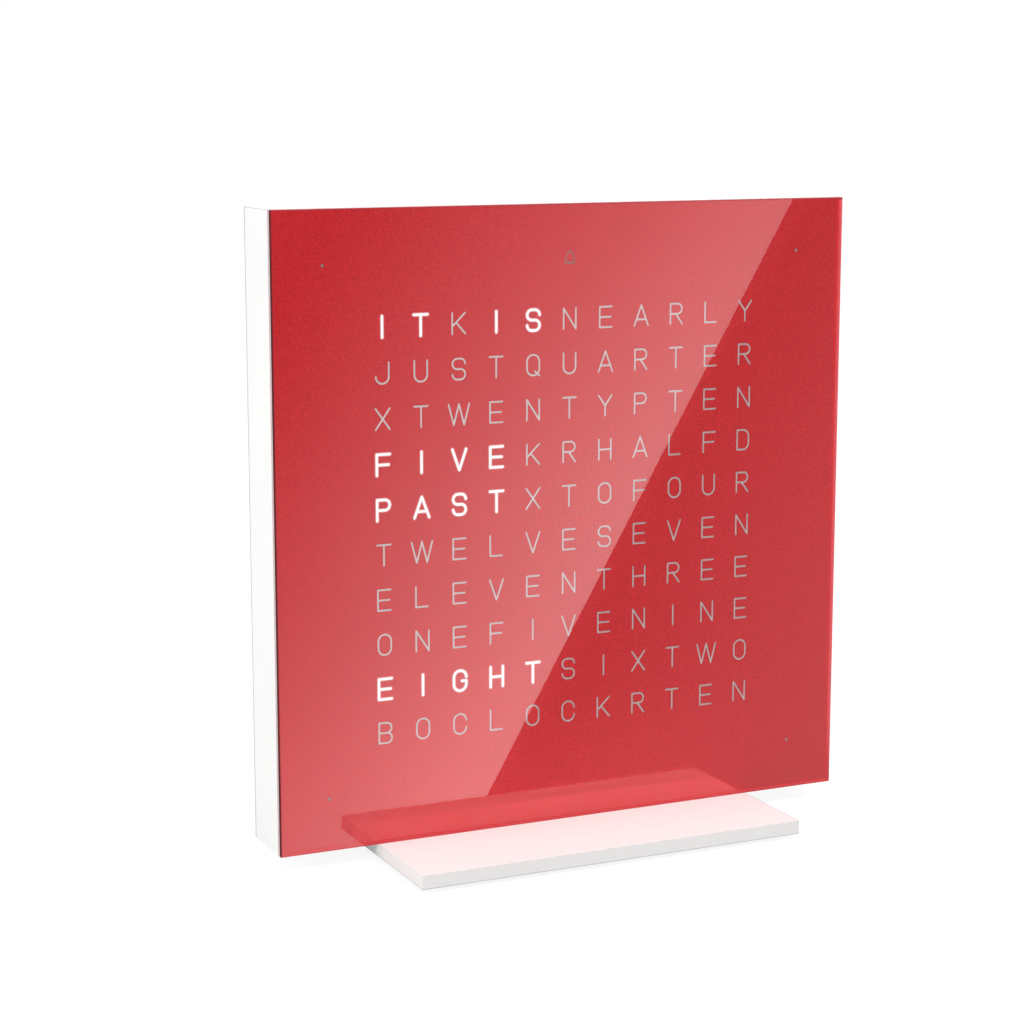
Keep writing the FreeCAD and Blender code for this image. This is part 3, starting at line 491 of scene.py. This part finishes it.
tone = add(tree, "ValToRGB", {"Fac": fibre.outputs["Fac"]}, tones=((0.0, "#C1BEBE"), (1.0, "#CDCACA")))
axes = add(tree, "SeparateXYZ", {0: place})
from_side = add(tree, "Math", {0: axes.outputs["X"]}, operation="ABSOLUTE")
above_middle = add(tree, "Math", {0: axes.outputs["Z"], 1: field_z}, operation="SUBTRACT")
from_middle = add(tree, "Math", {0: above_middle.outputs[0]}, operation="ABSOLUTE")
reach = either(tree, from_side.outputs[0], from_middle.outputs[0])
over_tube = add(tree, "Math", {0: reach, 1: field_half}, operation="GREATER_THAN")
# Painted shade: the film's front is darker over the open tubes of dots and bell.
painted_tube_shade = both(tree, over_tube.outputs[0], front.outputs[0])
shade = add(tree, "Mix", {0: painted_tube_shade, 6: tone.outputs["Color"], 7: linear("#979F9F")},
            data_type="RGBA")
# Painted sheen: a little light on the bright side of the mirrored screen's slanting edge, fading across
# it.
upward = add(tree, "Math", {0: axes.outputs["Z"], 1: slant_z, 2: slant_start}, operation="MULTIPLY_ADD")
from_edge = add(tree, "Math", {0: axes.outputs["X"], 1: slant_x, 2: upward.outputs[0]},
                operation="MULTIPLY_ADD")
painted_sheen = add(tree, "MapRange", {
    "Value": from_edge.outputs[0], "From Min": sheen_full, "From Max": sheen_end,
    "To Min": painted_sheen_strength, "To Max": 0.0})
in_field = add(tree, "Math", {0: 1.0, 1: over_tube.outputs[0]}, operation="SUBTRACT")
painted_sheen_in_field = both(tree, painted_sheen.outputs[0], in_field.outputs[0])
# Painted light: the film glows in the cells of the lit words, as if lit through by their LEDs.
light = either(tree, words_mask(tree, place), painted_sheen_in_field)
shader = add(tree, "BsdfPrincipled", {
    "Base Color": shade.outputs[2], "Roughness": 0.6, "IOR": 1.5,
    "Emission Color": linear("#FFFFFF"), "Emission Strength": both(tree, light, front.outputs[0])})
dress(film, shader, "diffuser_film")


# ---------------------------------------------------------------- red print
# Real piece: screen print on the back of the clear plate, a red coat open at letters, dots and bell.
# Finish: a lacquer with fine red metallic pigment, so it glints a little under the clear plate. Its
# grain is finer than a render shows, and is drawn as coarse as it needs to be seen.
print_red = material("red_screen_print")
tree = print_red.node_tree
place = add(tree, "TexCoord").outputs["Object"]
pigment = add(tree, "TexNoise", {"Vector": place, "Scale": per_mm(0.3), "Detail": 0.0})
tone = add(tree, "ValToRGB", {"Fac": pigment.outputs["Fac"]},
           tones=((0.35, "#D82D34"), (0.65, "#EC343A")))
shader = add(tree, "BsdfPrincipled", {
    "Base Color": tone.outputs["Color"], "Metallic": 0.28, "Roughness": 0.05,
    "Specular IOR Level": 0.6})
dress(print_red, shader, "letter_mask")


# ---------------------------------------------------------------- lit strokes
# Real piece: the part of the film that shows in the letters of the words that are on. Its light
# spreads a little into the plate. Drawn as thin bright skins just in front of the print, cut from
# the outlines of its openings, with a fainter skin round each that fades outward.
def faces_only():
    """Goes to edit mode with faces to be picked."""
    bpy.ops.object.mode_set(mode="EDIT")
    bpy.ops.mesh.select_mode(type="FACE")


def select_faces(mesh, wanted):
    """Selects, in edit mode, the faces for which wanted(face) holds."""
    bpy.ops.mesh.select_all(action="DESELECT")
    bpy.ops.object.mode_set(mode="OBJECT")
    for face in mesh.polygons:
        face.select = wanted(face)
    bpy.ops.object.mode_set(mode="EDIT")


def select_edges(mesh, wanted):
    """Selects, in edit mode, the edges for which wanted(edge) holds."""
    bpy.ops.mesh.select_mode(type="EDGE")
    bpy.ops.mesh.select_all(action="DESELECT")
    bpy.ops.object.mode_set(mode="OBJECT")
    for edge in mesh.edges:
        edge.select = wanted(edge)
    bpy.ops.object.mode_set(mode="EDIT")


inner_share = 0.45                   # how far a letter reaches from its cell's middle, in pitches


def in_lit_word(point):
    """Whether a point lies well inside a cell of the words that are on."""
    across = point.x / column_pitch + (columns - 1) / 2
    down = (field_z - point.z) / row_pitch + (rows - 1) / 2
    centred = abs(across - round(across)) < inner_share and abs(down - round(down)) < inner_share
    return centred and any(round(down) == row and first <= round(across) <= last
                           for row, first, last in words_on)


def own_mesh(name, mesh):
    """A new piece with its own copy of a mesh, alone selected and active."""
    made = bpy.data.objects.new(name, mesh.copy())
    bpy.context.scene.collection.objects.link(made)
    bpy.ops.object.select_all(action="DESELECT")
    made.select_set(True)
    bpy.context.view_layer.objects.active = made
    return made


stroke_spread = 0.00002              # how far the light reaches past a stroke's own edge
halo_spread = 0.00032                # and how far its faint halo reaches past that
glow_gap = 0.00003                   # strokes lie this far in front of the print
glow_skin = 0.00002                  # and are this thick
weld_distance = 1e-7                 # corners nearer than this are one
square_on = 0.99                     # a face looks along Y if its normal has this share of it
lit_strokes = own_mesh("lit_strokes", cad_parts["letter_mask"].data)
mesh = lit_strokes.data
mesh.materials.clear()
faces_only()
bpy.ops.mesh.select_all(action="SELECT")
bpy.ops.mesh.remove_doubles(threshold=weld_distance)
select_faces(mesh, lambda face: face.normal.y > -square_on)
bpy.ops.mesh.delete(type="FACE")
bpy.ops.object.mode_set(mode="OBJECT")
uses = {}
for face in mesh.polygons:
    for key in face.edge_keys:
        uses[key] = uses.get(key, 0) + 1
outline = {key for key, count in uses.items() if count == 1 and in_lit_word(
    (mesh.vertices[key[0]].co + mesh.vertices[key[1]].co) / 2)}
faces_only()
bpy.ops.mesh.select_all(action="SELECT")
bpy.ops.mesh.delete(type="ONLY_FACE")
select_edges(mesh, lambda edge: tuple(sorted(edge.vertices)) not in outline)
bpy.ops.mesh.delete(type="EDGE")
bpy.ops.mesh.select_all(action="SELECT")
bpy.ops.mesh.fill(use_beauty=False)
bpy.ops.mesh.select_all(action="SELECT")
bpy.ops.transform.translate(value=(0, -glow_gap, 0))
bpy.ops.mesh.extrude_region_move(TRANSFORM_OT_translate={"value": (0, -glow_skin, 0)})
bpy.ops.mesh.select_all(action="SELECT")
bpy.ops.mesh.normals_make_consistent(inside=False)
faces_only()
select_faces(mesh, lambda face: abs(face.normal.y) > 0.5)
bpy.ops.mesh.delete(type="FACE")
bpy.ops.mesh.select_all(action="SELECT")
bpy.ops.transform.shrink_fatten(value=stroke_spread, use_even_offset=True)
bpy.ops.object.mode_set(mode="OBJECT")
lit_halo = own_mesh("lit_halo", mesh)

bpy.ops.object.select_all(action="DESELECT")
lit_strokes.select_set(True)
bpy.context.view_layer.objects.active = lit_strokes
faces_only()
back_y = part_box("letter_mask")[0].y - glow_gap
for level in (back_y, back_y - glow_skin):
    select_edges(mesh, lambda edge: all(
        abs(mesh.vertices[corner].co.y - level) < glow_skin / 4 for corner in edge.vertices))
    bpy.ops.mesh.fill(use_beauty=False)
bpy.ops.mesh.select_all(action="SELECT")
bpy.ops.mesh.dissolve_degenerate(threshold=weld_distance / 10)
bpy.ops.mesh.select_all(action="SELECT")
bpy.ops.mesh.normals_make_consistent(inside=False)
bpy.ops.object.mode_set(mode="OBJECT")

bpy.ops.object.select_all(action="DESELECT")
lit_halo.select_set(True)
bpy.context.view_layer.objects.active = lit_halo
halo = lit_halo.data
bpy.ops.object.mode_set(mode="EDIT")
bpy.ops.mesh.select_mode(type="VERT")
bpy.ops.mesh.select_all(action="DESELECT")
bpy.ops.object.mode_set(mode="OBJECT")
nearness = halo.attributes.new("nearness", "FLOAT", "POINT")
for vertex in halo.vertices:
    vertex.select = vertex.co.y > back_y - glow_skin / 2
    nearness.data[vertex.index].value = 0.0 if vertex.select else 1.0
bpy.ops.object.mode_set(mode="EDIT")
bpy.ops.transform.shrink_fatten(value=halo_spread, use_even_offset=True)
bpy.ops.mesh.select_all(action="SELECT")
bpy.ops.transform.resize(value=(1, 0, 1), center_override=(0, back_y - glow_skin / 2, 0))
bpy.ops.object.mode_set(mode="OBJECT")
skin = lit_halo.modifiers.new("skin", "SOLIDIFY")
skin.thickness = glow_skin / 4
bpy.ops.object.modifier_apply(modifier=skin.name)

stroke_light = material("lit_film")
tree = stroke_light.node_tree
shader = add(tree, "BsdfPrincipled", {
    "Base Color": linear("#404040"), "Roughness": 0.6,
    "Emission Color": linear("#FFFFFF"), "Emission Strength": 1.0})
dress(stroke_light, shader)
halo_veil = 0.6                      # how much the halo covers next to a stroke
halo_light = material("light_spread_in_plate")
tree = halo_light.node_tree
closeness = add(tree, "Attribute", attribute_name="nearness")
falloff = add(tree, "Math", {0: closeness.outputs["Fac"], 1: 2.0}, operation="POWER")
veil = both(tree, falloff.outputs[0], halo_veil)
shader = add(tree, "BsdfPrincipled", {
    "Base Color": linear("#000000"), "Specular IOR Level": 0.0, "Roughness": 1.0,
    "Emission Color": linear("#FFE6E8"), "Emission Strength": 1.0, "Alpha": veil})
dress(halo_light, shader)
lit_strokes.data.materials.append(stroke_light)
lit_halo.data.materials.clear()
lit_halo.data.materials.append(halo_light)
for piece in (lit_strokes, lit_halo):
    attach(piece, "front_cover")


# ---------------------------------------------------------------- clear cover plate
# Real piece: cast acrylic sheet, cut square, its edges polished to a fine arris, with the print on
# its back. Finish: water clear and glossy, so it mirrors the stand and the studio. A thin coat
# strengthens that image, and its edges carry painted light and shade in place of light led through them.
plate_low, plate_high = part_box("cover_plate")
arris = 0.00015
bond = 0.00002                       # thickness of the clear bond between plate and print
straight_share = 0.37                # part of the rays off the print that leave the plate unbent
side_slack = 0.01                    # how far a side's normal may lean to the front
bpy.ops.object.select_all(action="DESELECT")
bpy.ops.mesh.primitive_cube_add(size=1.0, location=(plate_low + plate_high) / 2)
plate = bpy.context.active_object
plate.name = "clear_plate"
plate.scale = plate_high - plate_low - Vector((0, bond, 0))
plate.location.y -= bond / 2
bpy.ops.object.transform_apply(location=True, rotation=True, scale=True)
bpy.ops.object.mode_set(mode="EDIT")
bpy.ops.mesh.select_all(action="SELECT")
bpy.ops.mesh.bevel(offset=arris, offset_type="OFFSET", segments=2, profile=0.5, affect="EDGES")
bpy.ops.object.mode_set(mode="OBJECT")

clear_acrylic = material("clear_cast_acrylic")
tree = clear_acrylic.node_tree
glass = add(tree, "BsdfPrincipled", {
    "Base Color": linear("#FFFFFF"), "Roughness": 0.0, "IOR": 1.49, "Transmission Weight": 1.0,
    "Coat Weight": 0.3, "Coat Roughness": 0.0})
through = add(tree, "BsdfTransparent", {"Color": linear("#FFFFFF")})
path = add(tree, "LightPath")
straight_out = both(tree, path.outputs["Is Glossy Ray"], straight_share)
shader = add(tree, "MixShader", {0: straight_out, 1: glass.outputs[0], 2: through.outputs[0]})
dress(clear_acrylic, shader)
bonded = material("clear_bond_to_print")
tree = bonded.node_tree
dress(bonded, add(tree, "BsdfTransparent", {"Color": linear("#FFFFFF")}))
# Painted light and shade on the plate's sides: near black over the front half, turning pale near the
# back.
painted_plate_side_light_and_shade = material("plate_side_painted_light_and_shade")
tree = painted_plate_side_light_and_shade.node_tree
place = add(tree, "TexCoord").outputs["Object"]
axes = add(tree, "SeparateXYZ", {0: place})
depth = add(tree, "MapRange", {
    "Value": axes.outputs["Y"], "From Min": plate_low.y, "From Max": plate_high.y})
tone = add(tree, "ValToRGB", {"Fac": depth.outputs[0]}, tones=((0.5, "#080404"), (0.8, "#F6EEEE")))
shader = add(tree, "BsdfPrincipled", {
    "Base Color": tone.outputs["Color"], "Roughness": 0.6, "Specular IOR Level": 0.1})
dress(painted_plate_side_light_and_shade, shader)
corner_reach = 1.5 * arris
arris_light = 0.15                   # how much the front arris glows, but not on the left and top
# Painted light and shade on the front arris: dark red on the left, dull red on the top, pale bright red
# at the right, red along the bottom, and a faint glow except on the left and top.
arris_glow = material("red_light_in_front_arris")
tree = arris_glow.node_tree
place = add(tree, "TexCoord").outputs["Object"]
axes = add(tree, "SeparateXYZ", {0: place})
along = add(tree, "MapRange", {
    "Value": axes.outputs["X"], "From Min": plate_low.x, "From Max": plate_high.x})
lower = add(tree, "Mix", {0: along.outputs[0], 6: linear("#E8383F"), 7: linear("#D22D34")},
            data_type="RGBA")
at_right = add(tree, "Math", {0: axes.outputs["X"], 1: plate_high.x - corner_reach},
               operation="GREATER_THAN")
tone = add(tree, "Mix", {0: at_right.outputs[0], 6: lower.outputs[2], 7: linear("#EE6266")},
           data_type="RGBA")
at_top = add(tree, "Math", {0: axes.outputs["Z"], 1: plate_high.z - corner_reach},
             operation="GREATER_THAN")
tone = add(tree, "Mix", {0: at_top.outputs[0], 6: tone.outputs[2], 7: linear("#BC3B41")},
           data_type="RGBA")
at_left = add(tree, "Math", {0: axes.outputs["X"], 1: plate_low.x + corner_reach},
              operation="LESS_THAN")
tone = add(tree, "Mix", {0: at_left.outputs[0], 6: tone.outputs[2], 7: linear("#7A2226")},
           data_type="RGBA")
shaded = either(tree, at_left.outputs[0], at_top.outputs[0])
lifted = add(tree, "MapRange", {"Value": shaded, "To Min": arris_light, "To Max": 0.0})
shader = add(tree, "BsdfPrincipled", {
    "Base Color": tone.outputs[2], "Roughness": 0.5, "Specular IOR Level": 0.0,
    "Emission Color": tone.outputs[2], "Emission Strength": lifted.outputs[0]})
dress(arris_glow, shader)
for finish in (clear_acrylic, bonded, painted_plate_side_light_and_shade, arris_glow):
    plate.data.materials.append(finish)
for face in plate.data.polygons:
    if face.normal.y > square_on:                  # the back
        face.material_index = 1
    elif face.normal.y > -side_slack:              # the four sides and the back's arris
        face.material_index = 2
    elif face.normal.y > -square_on:               # the front's arris
        face.material_index = 3
plate.visible_shadow = False         # so that the print behind it is lit as if it lay bare
plate.visible_diffuse = False
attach(plate, "front_cover")
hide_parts("cover_plate")


# ---------------------------------------------------------------- edge band
# Real piece: the rim of the same sheet as seen through its front. Clear acrylic gathers light and
# gives it off at its cut edges, so the red print shows brighter there. Drawn as a thin frame just
# inside the sheet, with that light painted on: a brighter red rising from near the bottom, and plain
# print red along the left and top.
band_gap = 0.00003                   # from the sheet's own faces
band_width = 0.00036
band_foot = 0.001                    # the tone rises from this height above the sheet's lower edge
corner_reach = 1.5 * band_width
bpy.ops.object.select_all(action="DESELECT")
bpy.ops.mesh.primitive_cube_add(size=1.0, location=(plate_low + plate_high) / 2)
band = bpy.context.active_object
band.name = "plate_edge_band"
band.scale = plate_high - plate_low - Vector((2 * band_gap, 4 * band_gap, 2 * band_gap))
bpy.ops.object.transform_apply(location=True, rotation=True, scale=True)
faces_only()
select_faces(band.data, lambda face: abs(face.normal.y) > 0.9)
bpy.ops.mesh.inset(thickness=band_width)
bpy.ops.mesh.bridge_edge_loops()
bpy.ops.mesh.select_all(action="SELECT")
bpy.ops.mesh.normals_make_consistent(inside=False)
bpy.ops.object.mode_set(mode="OBJECT")
edge_glow = material("red_light_at_cut_edge")
tree = edge_glow.node_tree
place = add(tree, "TexCoord").outputs["Object"]
axes = add(tree, "SeparateXYZ", {0: place})
height = add(tree, "MapRange", {
    "Value": axes.outputs["Z"], "From Min": plate_low.z + band_foot, "From Max": plate_high.z})
# Painted light: a brighter red from near the bottom upward, plain print red on the left and top.
gathered = add(tree, "ValToRGB", {"Fac": height.outputs[0]}, tones=((0.0, "#CC353B"), (0.1, "#EC5F65")))
far_left = add(tree, "Math", {0: axes.outputs["X"], 1: plate_low.x + corner_reach},
               operation="LESS_THAN")
at_top = add(tree, "Math", {0: axes.outputs["Z"], 1: plate_high.z - corner_reach},
             operation="GREATER_THAN")
shaded = either(tree, far_left.outputs[0], at_top.outputs[0])
tone = add(tree, "Mix", {0: shaded, 6: gathered.outputs["Color"], 7: linear("#C0333A")},
           data_type="RGBA")
shader = add(tree, "BsdfPrincipled", {
    "Base Color": tone.outputs[2], "Roughness": 0.5, "Specular IOR Level": 0.0})
dress(edge_glow, shader)
band.data.materials.append(edge_glow)
band.visible_shadow = False
band.visible_diffuse = False
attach(band, "front_cover")


# ---------------------------------------------------------------- studio
# Not part of the clock: a pale floor and backdrop, two soft lamps, and a screen in front whose
# bright side makes the slanting sheen on the face. The camera doesn't see the screen, and the face
# mirrors neither the floor nor the lamps.
floor_side = 8.0
floor_glow = 1.09                    # strength that shows the lit paper as white
glow_share = 0.8                     # the rest of what the camera sees takes the clock's shadow
bpy.ops.mesh.primitive_plane_add(size=floor_side, location=(0, 0, 0))
floor = bpy.context.active_object
floor.name = "studio_floor"
floor.visible_glossy = False
floor.visible_transmission = False
paper = material("white_paper_floor")
tree = paper.node_tree
path = add(tree, "LightPath")
seen = add(tree, "BsdfDiffuse", {"Color": linear("#F6F6F6")})
glow = add(tree, "Emission", {"Color": linear("#FFFFFF"), "Strength": floor_glow})
for_camera = add(tree, "MixShader", {0: glow_share, 1: seen.outputs[0], 2: glow.outputs[0]})
bounce = add(tree, "BsdfDiffuse", {"Color": linear("#C8C8C8")})
shader = add(tree, "MixShader", {0: path.outputs["Is Camera Ray"], 1: bounce.outputs[0],
                                 2: for_camera.outputs[0]})
dress(paper, shader)
floor.data.materials.append(paper)

world = bpy.data.worlds.new("studio")
bpy.context.scene.world = world
world.use_nodes = True
tree = world.node_tree
tree.nodes.clear()
path = add(tree, "LightPath")
views = either(tree, path.outputs["Is Camera Ray"], path.outputs["Is Glossy Ray"],
               path.outputs["Is Transmission Ray"])
fill = add(tree, "Background", {"Color": linear("#FFFFFF"), "Strength": 0.7})
white = add(tree, "Background", {"Color": linear("#FFFFFF"), "Strength": 1.0})
shader = add(tree, "MixShader", {0: views, 1: fill.outputs[0], 2: white.outputs[0]})
add(tree, "OutputWorld", {"Surface": shader.outputs[0]})

clock_middle = Vector((0, 0, 0.07))
lamp_side = 1.2
for name, place, power in (("side", (-2.0, -0.2, 0.9), 20.0), ("overhead", (0.85, -0.6, 1.9), 29.5)):
    bpy.ops.object.light_add(type="AREA", location=place)
    lamp = bpy.context.active_object
    lamp.name = name + "_lamp"
    lamp.data.shape = "SQUARE"
    lamp.data.size = lamp_side
    lamp.data.energy = power
    lamp.rotation_euler = (clock_middle - Vector(place)).to_track_quat("-Z", "Y").to_euler()
    lamp.visible_glossy = False
    lamp.visible_transmission = False

# The screen stands upright in front of the clock. Its bright side ends along a slanting edge and
# fades away from it, and the dark side lifts a little away from the edge.
screen_middle = (0.5, -1.4985, 0.1)
screen_width, screen_height = 6.0, 4.0
screen_edge = (Vector((0.9798, 0.0603)), Vector((0.6617, -0.4827)))   # x, z of two points on the edge
bpy.ops.mesh.primitive_plane_add(size=1.0, location=screen_middle, rotation=(math.pi / 2, 0, 0))
screen = bpy.context.active_object
screen.name = "studio_screen"
screen.scale = (screen_width, screen_height, 1.0)
bpy.ops.object.transform_apply(location=True, rotation=True, scale=True)
screen.visible_camera = False
screen.visible_diffuse = False
screen.visible_shadow = False
sheen = material("studio_screen_light")
tree = sheen.node_tree
place = add(tree, "TexCoord").outputs["Object"]
axes = add(tree, "SeparateXYZ", {0: place})
along = (screen_edge[0] - screen_edge[1]).normalized()
across = Vector((along.y, -along.x))                      # from the bright side to the dark side
sideways = add(tree, "Math", {0: axes.outputs["X"], 1: across.x, 2: -across.dot(screen_edge[0])},
               operation="MULTIPLY_ADD")
distance = add(tree, "Math", {0: axes.outputs["Z"], 1: across.y, 2: sideways.outputs[0]},
               operation="MULTIPLY_ADD")
# The ramps of its light. Each runs along the distance from the edge, which is negative on the
# bright side, or along the height. Its two places there are in metres, and then come its strengths
# at them. The plate's own surface mirrors the first three and the print under it the others: two
# strengths of one screen, which no real screen has, so that each mirror image is set by itself.
from_edge, height = distance.outputs[0], axes.outputs["Z"]
ramps = {}
for name, runs_along, start, end, start_strength, end_strength in (
        ("sheen rise", from_edge, -0.4, 0.0, 0.0, 1.0),
        ("sheen level", height, 0.05, -0.2, 1.95, 2.85),
        ("dark side", from_edge, 0.0, 0.3, 0.15, 0.72),
        ("print rise", from_edge, -0.42, 0.0, 0.25, 0.8),
        ("print level", height, -0.3, -0.475, 1.0, 1.75),
        ("print foot", height, -0.38, -0.475, 0.0, 0.35),
        ("over the stand", from_edge, 0.12, 0.25, 1.0, 0.0),
        ("print dark side", height, 0.1, -0.25, 0.05, 0.22)):
    ramps[name] = add(tree, "MapRange", {
        "Value": runs_along, "From Min": start, "From Max": end,
        "To Min": start_strength, "To Max": end_strength}).outputs[0]
sheen_curve = 1.25
rise = add(tree, "Math", {0: ramps["sheen rise"], 1: sheen_curve}, operation="POWER")
bright = both(tree, rise.outputs[0], ramps["sheen level"])
on_dark = add(tree, "Math", {0: from_edge, 1: 0.0}, operation="GREATER_THAN").outputs[0]
surface = add(tree, "Mix", {0: on_dark, 2: bright, 3: ramps["dark side"]}, data_type="FLOAT")
print_bright = both(tree, ramps["print rise"], ramps["print level"])
print_foot = both(tree, ramps["print foot"], ramps["over the stand"])
print_dark = add(tree, "Math", {0: print_foot, 1: ramps["print dark side"]}, operation="ADD")
print_light = add(tree, "Mix", {0: on_dark, 2: print_bright, 3: print_dark.outputs[0]},
                  data_type="FLOAT")
path = add(tree, "LightPath")
outside = add(tree, "Math", {0: path.outputs["Transmission Depth"], 1: 0.5}, operation="LESS_THAN")
from_surface = both(tree, surface.outputs[0], outside.outputs[0])
from_print = both(tree, print_light.outputs[0], path.outputs["Is Transmission Ray"])
strength = add(tree, "Math", {0: from_surface, 1: from_print}, operation="ADD")
dress(sheen, add(tree, "Emission", {"Color": linear("#FFFFFF"), "Strength": strength.outputs[0]}))
screen.data.materials.append(sheen)

camera_data = bpy.data.cameras.new("camera")
camera = bpy.data.objects.new("camera", camera_data)
bpy.context.scene.collection.objects.link(camera)
camera_data.lens = 85.0
camera_data.sensor_width = 36.0
camera_data.clip_start = 0.01
camera.location = (-0.22959, -0.45916, 0.16316)
azimuth, elevation = math.radians(-25.075), math.radians(9.975)
back = Vector((math.sin(azimuth) * math.cos(elevation), -math.cos(azimuth) * math.cos(elevation),
               math.sin(elevation)))
camera.rotation_euler = back.to_track_quat("Z", "Y").to_euler()
bpy.context.scene.camera = camera
bpy.context.scene.view_settings.view_transform = "Standard"
